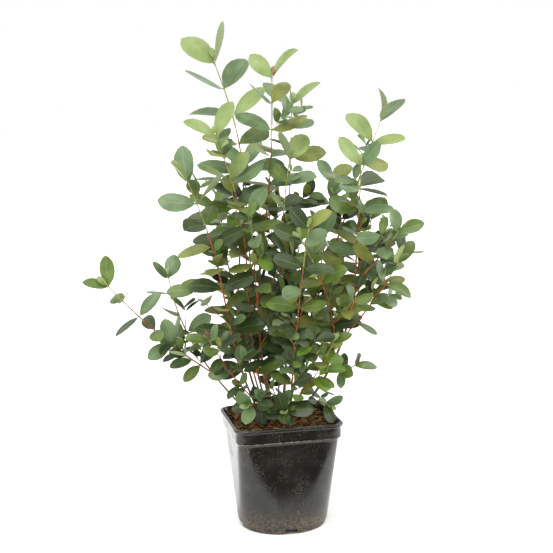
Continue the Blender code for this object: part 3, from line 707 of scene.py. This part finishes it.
# chips: rings of six, wide in the middle and split at the ends, turned and strewn as one array
def buildChips():
    rng = np.random.default_rng(soil["seed"])
    count = soil["chips"]
    angle = rng.uniform(0, 2 * math.pi, count)
    radius = soilEdge(angle) * np.sqrt(rng.uniform(0.0, 0.93, count))
    x, y = radius * np.cos(angle), radius * np.sin(angle)
    length = rng.uniform(*soil["length"], count) * rng.choice([0.7, 1.0, 1.5], count)
    length = np.minimum(length, 2.2 * (soilEdge(angle) - radius) + 0.003)
    width = length * rng.uniform(*soil["width"], count)
    thick = length * rng.uniform(*soil["thick"], count)
    z = soilHeight(x, y) + thick * rng.uniform(0.1, 0.9, count)
    z += rng.uniform(0, soil["rise"], count)
    turn, tilt, roll = (rng.uniform(0, 2 * math.pi, count), rng.normal(0, soil["tilt"], count),
                        rng.normal(0, soil["roll"], count))
    rings = np.array([-0.5, -0.34, 0.05, 0.36, 0.5])
    wide = np.array([0.45, 0.85, 1.0, 0.8, 0.35])
    round6 = np.arange(6) / 6 * 2 * math.pi
    rough = 1 + rng.uniform(-soil["rough"], soil["rough"], (count, 5, 6))
    local = np.stack([
        rings[None, :, None] * length[:, None, None] * (1 + 0.1 * rough),
        np.cos(round6) * 0.5 * width[:, None, None] * wide[None, :, None] * rough,
        np.sin(round6) * 0.5 * thick[:, None, None] * wide[None, :, None] * rough], axis=-1)
    middles = np.stack([local[:, 0].mean(axis=1), local[:, -1].mean(axis=1)], axis=1)
    local = np.concatenate([local.reshape(count, 30, 3), middles], axis=1)
    ct, st, cl, sl, cr, sr = (np.cos(turn), np.sin(turn), np.cos(tilt), np.sin(tilt),
                              np.cos(roll), np.sin(roll))
    matrix = np.stack([
        np.stack([ct * cl, ct * sl * sr - st * cr, ct * sl * cr + st * sr], -1),
        np.stack([st * cl, st * sl * sr + ct * cr, st * sl * cr - ct * sr], -1),
        np.stack([-sl, cl * sr, cl * cr], -1)], axis=1)
    world = np.einsum("nij,nvj->nvi", matrix, local) + np.stack([x, y, z], 1)[:, None]
    world[..., 2] = np.minimum(world[..., 2], pot["height"] - 0.001)
    kinds = rng.choice(len(soil["chipColours"]), count, p=soil["chipShares"])
    quads, caps = ringQuads(5, 6)[:, ::-1], capTriangles(5, 6, 30, 31)[:, ::-1]
    for kind, (low, high) in enumerate(soil["chipColours"]):
        own = world[kinds == kind]
        base = np.arange(len(own))[:, None, None] * 32
        # composted bark is dull, with fibres a few tenths of a millimetre across
        material = grainyMaterial(f"composted_bark_{kind + 1}", (low, high), {
            "Roughness": 0.9, "Specular IOR Level": 0.2}, 2.5, 4.0, 0.4, 0.8)
        piece = meshPiece(f"bark_chips_{kind + 1}", own,
                          [(base + quads).reshape(-1, 4), (base + caps).reshape(-1, 3)],
                          [material])
        dress(piece, "bark_compost", "soil")


# thin bark over wood: grey-brown at the foot, rust red above it, green at the tips
stems = dict(sides=10, step=0.005, nodeSwell=0.35, swellLength=0.0025, ridges=0.05,
             old=("#5E4A38", "#9A8062"), red=("#7E381C", "#B06436"),
             green=("#84763A", "#9AA458"), oldUntil=0.10, redUntil=0.80, twigRed=0.55,
             sink=0.003)


# rings square to a path; the radius is ridged by slow waves along it and round it
def tubeRings(path, radii, sides, seed):
    along = np.gradient(path, axis=0)
    along /= np.linalg.norm(along, axis=1)[:, None]
    spare = np.array(spareAxis(path[0], path[-1]), float)
    across = np.cross(spare, along)
    across /= np.linalg.norm(across, axis=1)[:, None]
    other = np.cross(along, across)
    turn = np.arange(sides) / sides * 2 * math.pi
    run = np.concatenate([[0], np.cumsum(np.linalg.norm(np.diff(path, axis=0), axis=1))])
    ridge = 1 + stems["ridges"] * wobble(turn[None] * 3, run[:, None] * 260, turn[None] * 2, seed)
    ring = (across[:, None] * np.cos(turn)[None, :, None]
            + other[:, None] * np.sin(turn)[None, :, None])
    return path[:, None] + ring * (radii[:, None] * ridge)[..., None]


# each node is a bell-shaped swelling: e to the minus square of the distance over its length
def swollen(shares, radii, nodes, length):
    apart = (shares[:, None] - np.array(nodes)[None]) * length / stems["swellLength"]
    return radii * (1 + stems["nodeSwell"] * np.exp(-apart ** 2).max(axis=1))


# all tubes in one mesh; each row of faces takes the bark of its share of the stem
def buildWood(name, tubes, materials):
    points, quadSets, capSets, quadSlots, capSlots, start = [], [], [], [], [], 0
    for rings, rowSlots in tubes:
        rows, columns = rings.shape[:2]
        points += [rings.reshape(-1, 3), rings[0].mean(axis=0)[None], rings[-1].mean(axis=0)[None]]
        quadSets.append(ringQuads(rows, columns) + start)
        end = rows * columns
        capSets.append(capTriangles(rows, columns, end, end + 1) + start)
        quadSlots.append(np.repeat(rowSlots[:-1], columns))
        capSlots.append(np.repeat([rowSlots[0], rowSlots[-1]], columns))
        start += end + 2
    return meshPiece(name, np.concatenate(points),
                     [np.concatenate(quadSets), np.concatenate(capSets)], materials,
                     [np.concatenate(quadSlots), np.concatenate(capSlots)])


# bark: dull and flaky when old, satin when young; its grain is 3 to 8 mm long
def barkMaterials():
    return [grainyMaterial(name, tints, {"Specular IOR Level": 0.3, "Roughness": rough},
                           grain, 5.0, 0.3, 0.6)
            for name, tints, rough, grain in (
                ("old_grey_brown_bark", stems["old"], 0.85, 3.0),
                ("rust_red_bark", stems["red"], 0.60, 5.0),
                ("young_green_bark", stems["green"], 0.50, 8.0))]


# leaves: thick evergreen blades, satin above, felted and pale below
# kinds: two tints of the upper side, one of the lower; the dark green kind is partly painted
# shade, the grey-green kind partly a painted sheen, the yellowish and light green kinds partly a
# painted glow of light through the leaf, and the lower sides' pale yellowish tint is partly that
# painted glow
leafLook = dict(
    stations=(0.0, 0.05, 0.12, 0.26, 0.44, 0.62, 0.79, 0.93, 1.0),
    halfWidths=(0.035, 0.040, 0.175, 0.365, 0.475, 0.50, 0.430, 0.245, 0.03),
    across=(-1.0, -0.5, 0.0, 0.5, 1.0, 0.0), face=(0, 1, 1, 1, 0, -1),
    width=0.55, thickness=0.0008, seed=11,
    sunward=(-0.25, -0.80, 0.55), turns=(0.15, 1.15), mostTurn=1.1,
    kinds=dict(deep_and_painted_shade=("#223410", "#34481A", "#606E42"), sage_and_painted_sheen=("#4E663E", "#647C50", "#84926A"),
               mid=("#485F1E", "#60762E", "#7A884C"), olive_and_painted_glow=("#66702A", "#7E853A", "#868A4C"),
               bright_and_painted_glow=("#527218", "#6A8828", "#8A9A4A"), young=("#768A4C", "#8A9C5E", "#98A26C"),
               cream=("#C0C084", "#D0D09C", "#C8C89C"), dry=("#6B4A2C", "#8C6A44", "#94744E")),
    rib="#A3AE72", veinShare=0.12, ribEdges=(0.008, 0.034), veinSlant=-0.55, veinPhase=62.8,
    widths=(0.86, 1.10), arch=(-0.02, 0.05), droop=(-0.05, 0.10), bend=0.035,
    fold=(-0.15, 0.42), wave=0.012, twist=0.14,
    newestAge=0.86, newestHeight=0.62, highAbove=0.60, lowBelow=0.32, outsideFrom=0.12)

# where each kind of leaf is dealt out: a chance from 0 to 1 takes the first kind above it;
# the dark green goes mostly to low and inner leaves as painted shade, the grey-green mostly to
# high and outer leaves as painted sheen, the yellowish greens to high, outer and inner leaves as a
# painted glow of light through the leaf
deal = dict(
    tip=(("dry", 0.12), ("young", 1)), fresh=(("bright_and_painted_glow", 0.3), ("mid", 0.8), ("olive_and_painted_glow", 1)),
    newest=(("young", 0.40), ("olive_and_painted_glow", 0.55), ("sage_and_painted_sheen", 1)),
    high=(("sage_and_painted_sheen", 0.55), ("mid", 0.70), ("olive_and_painted_glow", 0.92), ("young", 1)),
    low=(("deep_and_painted_shade", 0.60), ("mid", 0.84), ("sage_and_painted_sheen", 1)),
    outside=(("sage_and_painted_sheen", 0.50), ("mid", 0.72), ("olive_and_painted_glow", 0.88), ("deep_and_painted_shade", 1)),
    inside=(("deep_and_painted_shade", 0.28), ("sage_and_painted_sheen", 0.48), ("mid", 0.76), ("olive_and_painted_glow", 0.96), ("bright_and_painted_glow", 1)))


# each leaf turns about its own rib some way to the light, as far as its space is free
def turnToLight(leaf, draw):
    sun = unit(np.array(leafLook["sunward"]))
    flat = sun - sun.dot(leaf["ahead"]) * leaf["ahead"]
    if np.linalg.norm(flat) < 0.1:
        return leaf
    flat = unit(flat)
    side = np.cross(leaf["ahead"], leaf["upper"])
    angle = math.atan2(flat.dot(side), flat.dot(leaf["upper"]))
    reach = min(draw.uniform(*leafLook["turns"]), 1.0)
    angle = max(-leafLook["mostTurn"], min(leafLook["mostTurn"], angle * reach))
    thick = growth["guardSpare"] * 0.5
    for share in (1.0, 0.6, 0.3):
        turn = angle * share
        upper = leaf["upper"] * math.cos(turn) + side * math.sin(turn)
        size = leaf["size"]
        start = growth["guardStart"]
        outer = spaceOf(*guardBlade(leaf["base"] + leaf["ahead"] * start * size, leaf["ahead"],
                                    upper, size * (1 - start), size * leafLook["width"], thick))
        if isFree(outer, skip=leaf["place"]):
            taken[leaf["place"]] = (leaf["owner"], *outer)
            return {**leaf, "upper": upper}
    return leaf


# blade on a grid of stations by points across: width from the outline, height from an arch
# along it, a fold at the rib, a droop to the tip and a wave that grows to the edges
def leafArrays(leaves, rng):
    count = len(leaves)
    base, ahead, upper = (np.array([leaf[key] for leaf in leaves])
                          for key in ("base", "ahead", "upper"))
    size = np.array([leaf["size"] for leaf in leaves])
    side = np.cross(upper, ahead)
    station, half = np.array(leafLook["stations"]), np.array(leafLook["halfWidths"])
    across, face = np.array(leafLook["across"]), np.array(leafLook["face"])
    look = leafLook
    arch, droop = rng.uniform(*look["arch"], count), rng.uniform(*look["droop"], count)
    bend, fold = rng.normal(0, look["bend"], count), rng.uniform(*look["fold"], count)
    wave, phase = rng.uniform(0.0, look["wave"], count), rng.uniform(0, 6.3, count)
    twist = rng.normal(0, look["twist"], count)
    width = size * look["width"] * rng.uniform(*look["widths"], count)
    s, t = station[None, :, None], across[None, None, :]
    size, arch, droop, bend, fold, wave, phase, twist, width = (
        values[:, None, None]
        for values in (size, arch, droop, bend, fold, wave, phase, twist, width))
    flat = width * half[None, :, None] * t
    rise = size * (4 * arch * s * (1 - s) - droop * s ** 2.5
                   + wave * np.sin(8 * s + phase) * t) + fold * np.abs(flat)
    thick = leafLook["thickness"] * (0.5 + 0.5 * np.sin(math.pi * np.clip(s, 0.05, 0.95)))
    rise = rise + face[None, None, :] * thick / 2
    turn = twist * s
    sideways = flat * np.cos(turn) - rise * np.sin(turn) + size * bend * np.sin(math.pi * s)
    height = flat * np.sin(turn) + rise * np.cos(turn)
    forward = size * s * np.ones_like(t)
    points = (base[:, None, None] + ahead[:, None, None] * forward[..., None]
              + side[:, None, None] * sideways[..., None]
              + upper[:, None, None] * height[..., None])
    rows, columns = len(station), len(across)
    points = points.reshape(count, rows * columns, 3)
    ends = np.stack([points[:, :columns].mean(axis=1), points[:, -columns:].mean(axis=1)], axis=1)
    points = np.concatenate([points, ends], axis=1)
    uv = np.stack([np.broadcast_to(across[None] * 0.5 + 0.5, (rows, columns)).ravel(),
                   np.repeat(station, columns)], axis=1)
    uv = np.concatenate([uv, [[0.5, 0.0], [0.5, 1.0]]])
    return points, np.tile(uv, (count, 1))


def buildLeaves(name, leaves, materials, rng):
    points, uv = leafArrays(leaves, rng)
    count, each = points.shape[:2]
    rows, columns = len(leafLook["stations"]), len(leafLook["across"])
    quads = ringQuads(rows, columns)[:, ::-1]
    caps = capTriangles(rows, columns, each - 2, each - 1)[:, ::-1]
    quadSlots = np.tile([0, 0, 0, 0, 1, 1], rows - 1)
    base = (np.arange(count) * each)[:, None, None]
    piece = meshPiece(name, points.reshape(-1, 3),
                      [(base + quads).reshape(-1, 4), (base + caps).reshape(-1, 3)], materials,
                      [np.tile(quadSlots, count), np.zeros(count * len(caps))], uv)
    # a crease along the outline, so that each side is lit as a side of its own
    ends = np.empty(2 * len(piece.data.edges), np.int32)
    piece.data.edges.foreach_get("vertices", ends)
    ends = ends.reshape(-1, 2) % each
    column = ends % columns
    onOutline = np.isin(column, (0, leafLook["across"].index(1.0))).all(axis=1)
    onOutline &= (column[:, 0] == column[:, 1]) & (ends < rows * columns).all(axis=1)
    piece.data.edges.foreach_set("use_edge_sharp", onOutline)
    return piece


# leathery leaf: a waxed skin gives the upper side a soft sheen, fine felt dulls the lower side;
# the rib is a pale line along the middle and the side veins leave it forwards, a tenth apart
def leafMaterials(kind, low, high, under):
    made = []
    for part, tints, rough, ribShare in (("upper", (low, high), 0.38, 0.26),
                                         ("under", (under, under), 0.80, 0.20)):
        material, tree, shader = newMaterial(f"{kind}_leaf_{part}", {
            "Roughness": rough, "IOR": 1.45, "Specular IOR Level": 0.5 if part == "upper" else 0.2,
            "Sheen Weight": 0.06, "Sheen Roughness": 0.5})
        coordinates = add(tree, "TexCoord")
        place = add(tree, "SeparateXYZ", {"Vector": coordinates.outputs["UV"]})
        off = add(tree, "Math", {0: place.outputs["X"], 1: 0.5},
                  operation="SUBTRACT").outputs[0]
        off = add(tree, "Math", {0: off}, operation="ABSOLUTE").outputs[0]
        rib = add(tree, "MapRange", {
            "Value": off, "From Min": leafLook["ribEdges"][0],
            "From Max": leafLook["ribEdges"][1], "To Min": ribShare,
            "To Max": 0.0}).outputs["Result"]
        slant = add(tree, "Math", {0: off, 1: leafLook["veinSlant"],
                                   2: place.outputs["Y"]},
                    operation="MULTIPLY_ADD").outputs[0]
        phase = add(tree, "Math", {0: slant, 1: leafLook["veinPhase"]},
                    operation="MULTIPLY").outputs[0]
        veins = add(tree, "Math", {0: phase}, operation="COSINE").outputs[0]
        veins = add(tree, "MapRange", {"Value": veins, "From Min": 0.80}).outputs["Result"]
        veined = add(tree, "Math", {0: veins, 1: leafLook["veinShare"]},
                     operation="MULTIPLY").outputs[0]
        shade = linear(tints[0])
        for amount, over in ((cloud(tree, coordinates.outputs["Object"], 30.0), tints[1]),
                             (veined, leafLook["rib"]), (rib, leafLook["rib"])):
            shade = add(tree, "Mix", {0: amount, 6: shade, 7: linear(over)},
                        data_type="RGBA").outputs[2]
        bump = add(tree, "Bump", {"Height": veins, "Distance": 0.0001,
                                  "Strength": 0.35})
        fill(tree, shader, {"Base Color": shade, "Normal": bump.outputs["Normal"]})
        made.append(material)
    return made


# finer growth: short twigs from the leaf axils, each with a few pairs of smaller leaves
fine = dict(seed=23, twigShare=0.38, openShare=0.15, lowShare=0.95, lowHeight=0.33,
            open=("tall_left", "left", "second_left", "spray_left", "spray_far_left",
                  "left_low_side", "right_far"),
            length=(0.012, 0.048), radius=0.0007,
            leaf=(0.020, 0.044), pairGap=0.013, mostPairs=3, tipLeaf=(0.014, 0.024),
            margin=0.004, smallest=0.014)


def inReach(name, point):
    low, high = (np.array(corner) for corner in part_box("foliage_" + name))
    return ((point > low - fine["margin"]) & (point < high + fine["margin"])).all()


# each leaf of a pair leans out from its twig; it is kept only where its space is free
def smallPair(name, base, along, angle, leaf, pitch, draw, age):
    made, spare = [], (1, 0, 0) if abs(along[1]) > 0.75 else (0, 1, 0)
    for side in (0, math.pi):
        outward = outwardOf(angle + side + draw.uniform(-0.3, 0.3), along, spare)
        size = leaf * draw.uniform(0.8, 1.15)
        lean, roll = pitch + draw.uniform(-0.25, 0.25), draw.uniform(-0.6, 0.6)
        for smaller in (1.0, 0.7):
            if size * smaller < fine["smallest"]:
                continue
            tip = base + (along * math.cos(lean) + outward * math.sin(lean)) * size * smaller
            placed = inReach(name, tip) and placeLeaf(name, base, along, outward, lean, roll,
                                                      size * smaller)
            if placed:
                made.append(turnToLight({**placed, "age": age}, draw))
                break
    return made


def growFine(shoot, leaves, draw):
    twigs, small = [], []
    usualShare = fine["openShare"] if shoot["name"] in fine["open"] else fine["twigShare"]
    for leaf in [one for one in leaves if one["owner"] == shoot["name"]]:
        wanted = fine["lowShare"] if leaf["base"][2] < fine["lowHeight"] else usualShare
        if draw.random() > wanted or leaf["age"] > 0.90:
            continue
        aside = np.array([draw.uniform(-0.5, 0.5) for _ in range(3)])
        heading = unit(leaf["ahead"] * 0.8 + np.array((0, 0, 0.8)) + 0.4 * leaf["upper"] + aside)
        for length in (draw.uniform(*fine["length"]), fine["length"][0]):
            radii = np.linspace(fine["radius"], fine["radius"] * 0.6, 4)
            points = leaf["base"] + heading * length * np.linspace(0, 1, 4)[:, None]
            whole = spaceOf(*plainTube(points, np.tile(heading, (4, 1)), radii + 0.0003, 4))
            if inReach(shoot["name"], points[-1]) and isFree(whole, shoot["name"]):
                break
        else:
            continue
        taken.append((shoot["name"], *whole))
        twigs.append((points, radii))
        pairs = min(fine["mostPairs"], 1 + int(length / fine["pairGap"]))
        for pair in range(pairs):
            spot = points[-1] - heading * fine["pairGap"] * pair
            small += smallPair(shoot["name"], spot, heading, draw.uniform(0, 0.6) + 1.57 * pair,
                               draw.uniform(*fine["leaf"]), 0.95, draw, leaf["age"])
    tip = centreLine(shoot, [0.9995])[0]
    along = directions(shoot, [0.99])[0]
    small += [{**leaf, "age": 1.0, "tip": True} for leaf in smallPair(
        shoot["name"], tip, along, math.radians(shoot["turn"] + 90),
        draw.uniform(*fine["tipLeaf"]), 0.45, draw, 1.0)]
    return twigs, small


# pale at the tips of the tall shoots, grey-green with a painted sheen outside, dark green lower
# and inside as painted shade, with yellowish green inside as a painted glow of light through the
# leaf
def leafKind(leaf, draw):
    aside, height, chance = abs(leaf["base"][0]), leaf["base"][2], draw.random()
    newest = leaf["age"] > leafLook["newestAge"] and height > leafLook["newestHeight"]
    if leaf.get("tip") and leaf["owner"] == "right":
        return "cream"
    zone = ("tip" if leaf.get("tip") else "fresh" if leaf["owner"] == "fresh_front"
            else "newest" if newest else "high" if height > leafLook["highAbove"]
            else "low" if height < leafLook["lowBelow"]
            else "outside" if aside > leafLook["outsideFrom"] else "inside")
    return next(kind for kind, upTo in deal[zone] if chance < upTo)


def solidSpace(name):
    points = np.array([vertex.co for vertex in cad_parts[name].data.vertices])
    return spaceOf(points, [tuple(face.vertices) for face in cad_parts[name].data.polygons])


# grow: what stands there first, then the shoots' twigs, then their leaves, as the solids did
taken += [(name, *solidSpace(name)) for name in ("pot", "soil")]
rooted = [shoot for shoot in shoots.values() if shoot["bare"]]
for shoot in rooted:
    stem = stretch(shoot, stemShares(shoot), 6, footOf(shoot)[1])
    taken.append(("stem_" + shoot["name"], *spaceOf(*stem)))
for shoot in shoots.values():
    firstFacing = None if shoot["bare"] else footOf(shoot)[1]
    taken.append((shoot["name"], *spaceOf(*stretch(shoot, axisShares(shoot), 4, firstFacing))))
draws = {name: random.Random(shoot["seed"]) for name, shoot in shoots.items()}
twigs = {name: growTwigs(shoot, draws[name]) for name, shoot in shoots.items()}
leaves = [leaf for name, shoot in shoots.items()
          for leaf in growLeaves(shoot, twigs[name], draws[name])]
print("shoots grown:", len(leaves), "leaves,", sum(map(len, twigs.values())), "twigs")

fineDraw = random.Random(fine["seed"])
leaves = [turnToLight(leaf, fineDraw) for leaf in leaves]
fineTwigs, smallLeaves = [], []
for shoot in shoots.values():
    moreTwigs, moreLeaves = growFine(shoot, leaves, fineDraw)
    fineTwigs += moreTwigs
    smallLeaves += moreLeaves
print("finer growth:", len(smallLeaves), "small leaves,", len(fineTwigs), "fine twigs")

dress(buildPot(blackPlastic()), "pot_plastic", "pot")
# damp peat: dark, matt and crumbly, with grains of 1 to 4 mm
peat = grainyMaterial("damp_peat", soil["peat"], {"Roughness": 0.95, "Specular IOR Level": 0.15},
                      4.0, 6.0, 1.5)
dress(buildSoil(peat), "bark_compost", "soil")
buildChips()
print("pot and soil made")

tubes = []
for number, shoot in enumerate(shoots.values()):
    length = lengthOf(shoot)
    shares = np.linspace(0, 1, max(8, round(length / stems["step"])))
    radii = np.array([radiusAt(shoot, share) for share in shares])
    radii = swollen(shares, radii, nodeShares(shoot), length)
    path = centreLine(shoot, shares)
    if isSideShoot(shoot):                      # the foot starts inside its parent's bark
        path[0] -= footOf(shoot)[1] * gap * 3
    else:
        path[0, 2] -= stems["sink"]             # the foot stands in the compost
    height = (path[:, 2] - soilTop) / (cadBox[1][2] - soilTop)
    slot = np.where(shares > stems["redUntil"], 2, 1)
    if shoot["bare"]:
        slot = np.where(height < stems["oldUntil"], 0, slot)
    tubes.append((tubeRings(path, radii, stems["sides"], number), slot))
bark = barkMaterials()
dress(buildWood("shoot_stems", tubes, bark), "bark",
      *["stem_" + shoot["name"] for shoot in rooted])
twigTubes = []
steps = np.linspace(0, 1, 10)
for name in shoots:
    for points, length, radii, heading in twigs[name]:
        path = twigPoints(points[0], heading, length, steps)
        thick = np.linspace(radii[0], radii[-1], len(steps))
        twigTubes.append((tubeRings(path, thick, 6, length * 900),
                          np.where(steps > stems["twigRed"], 2, 1)))
for points, radii in fineTwigs:
    twigTubes.append((tubeRings(points, radii, 6, points[0, 0] * 900), np.full(len(points), 2)))
dress(buildWood("side_twigs", twigTubes, bark), "bark")
print("stems and twigs made")

leafDraw = random.Random(leafLook["seed"])
leafRng = np.random.default_rng(leafLook["seed"])
byKind = {kind: [] for kind in leafLook["kinds"]}
for leaf in leaves + smallLeaves:
    byKind[leafKind(leaf, leafDraw)].append(leaf)
for kind, tints in leafLook["kinds"].items():
    if byKind[kind]:
        piece = buildLeaves(kind + "_leaves", byKind[kind], leafMaterials(kind, *tints), leafRng)
        dress(piece, "foliage", *["foliage_" + name for name in shoots])
print("leaves made:", {kind: len(found) for kind, found in byKind.items()})


# studio: a white room, soft light from above on both sides, and a tall soft box at each side
studio = dict(lens=82.0, place=(-0.4262, -2.1135, 0.748), ahead=(0.1977, 0.9803),
              down=8.19, roll=1.47, floor="#FBFBFA", dark="#1C1C1C", fill=0.90, floorHalf=30.0,
              darkFront=(-0.17, -0.25), darkSide=(0.55, 0.35), lamps=(
                  dict(name="key_light", kind="SUN", place=(-1.2, -1.0, 2.2), target=(0, 0, 0),
                       energy=2.2, angle=math.radians(50)),
                  dict(name="fill_light", kind="SUN", place=(1.4, -0.4, 1.8), target=(0, 0, 0),
                       energy=1.2, angle=math.radians(50)),
                  dict(name="left_box", kind="AREA", place=(-1.5, -0.2, 0.6),
                       target=(0, 0, 0.3), energy=2.5, shape="RECTANGLE", size=0.5, size_y=1.3),
                  dict(name="right_box", kind="AREA", place=(1.4, 0.0, 0.6),
                       target=(0, 0, 0.3), energy=7, shape="RECTANGLE", size=0.35,
                       size_y=1.2)))


def newObject(name, data):
    made = bpy.data.objects.new(name, data)
    bpy.context.scene.collection.objects.link(made)
    return made


reach = studio["floorHalf"]
floorMesh = bpy.data.meshes.new("floor")
floorMesh.from_pydata([(-reach, -reach, -0.0005), (reach, -reach, -0.0005),
                       (reach, reach, -0.0005), (-reach, reach, -0.0005)], [], [(0, 1, 2, 3)])
# white paper to the camera; for glossy rays only, the stretch beyond about a fifth of a metre in
# front of the pot is painted dark, a painted dark reflection for the pot's walls
paper, paperTree, paperShader = newMaterial("white_paper", {"Roughness": 0.95,
                                                           "Specular IOR Level": 0.0})
paperPlace = add(paperTree, "SeparateXYZ", {
    "Vector": add(paperTree, "TexCoord").outputs["Object"]})
sideways = add(paperTree, "Math", {0: paperPlace.outputs["X"]}, operation="ABSOLUTE")
inFront, nearMiddle = [
    add(paperTree, "MapRange", {"Value": value, "From Min": start, "From Max": end})
    for value, (start, end) in ((paperPlace.outputs["Y"], studio["darkFront"]),
                                (sideways.outputs[0], studio["darkSide"]))]
paintedReflectionDark = add(paperTree, "Math", {0: inFront.outputs["Result"],
                                   1: nearMiddle.outputs["Result"]},
               operation="MULTIPLY")
glossy = add(paperTree, "LightPath").outputs["Is Glossy Ray"]
paintedReflectionDark = add(paperTree, "Math", {0: paintedReflectionDark.outputs[0], 1: glossy},
               operation="MULTIPLY").outputs[0]
# the paper's colour: white, with the painted dark reflection mixed in for glossy rays
paperTint = add(paperTree, "Mix", {0: paintedReflectionDark, 6: linear(studio["floor"]),
                                   7: linear(studio["dark"])}, data_type="RGBA")
fill(paperTree, paperShader, {"Base Color": paperTint.outputs[2]})
floorMesh.materials.append(paper)
newObject("floor", floorMesh)

# the room looks white to the camera and gives an even fill to everything else
world = bpy.data.worlds.new("room")
bpy.context.scene.world = world
world.use_nodes = True
sky = world.node_tree
seen = add(sky, "LightPath").outputs["Is Camera Ray"]
strength = add(sky, "MapRange", {"Value": seen, "To Min": studio["fill"],
                                 "To Max": 1.0}).outputs["Result"]
fill(sky, sky.nodes["Background"], {"Color": (1, 1, 1, 1), "Strength": strength})


# a lamp at a place, turned to face a point
def lamp(name, kind, place, target, **settings):
    light = bpy.data.lights.new(name, kind)
    for key, value in settings.items():
        setattr(light, key, value)
    made = newObject(name, light)
    made.location = place
    made.rotation_euler = (Vector(target) - Vector(place)).to_track_quat("-Z", "Y").to_euler()


for settings in studio["lamps"]:
    lamp(**settings)

cameraData = bpy.data.cameras.new("camera")
cameraData.lens, cameraData.sensor_width = studio["lens"], 36.0
camera = newObject("camera", cameraData)
pitch = math.radians(studio["down"])
look = Vector((studio["ahead"][0] * math.cos(pitch), studio["ahead"][1] * math.cos(pitch),
               -math.sin(pitch))).normalized()
turned = look.to_track_quat("-Z", "Y").to_matrix() @ Matrix.Rotation(
    math.radians(-studio["roll"]), 3, "Z")
camera.matrix_world = Matrix.Translation(studio["place"]) @ turned.to_4x4()
bpy.context.scene.camera = camera
bpy.context.scene.view_settings.view_transform = "Standard"
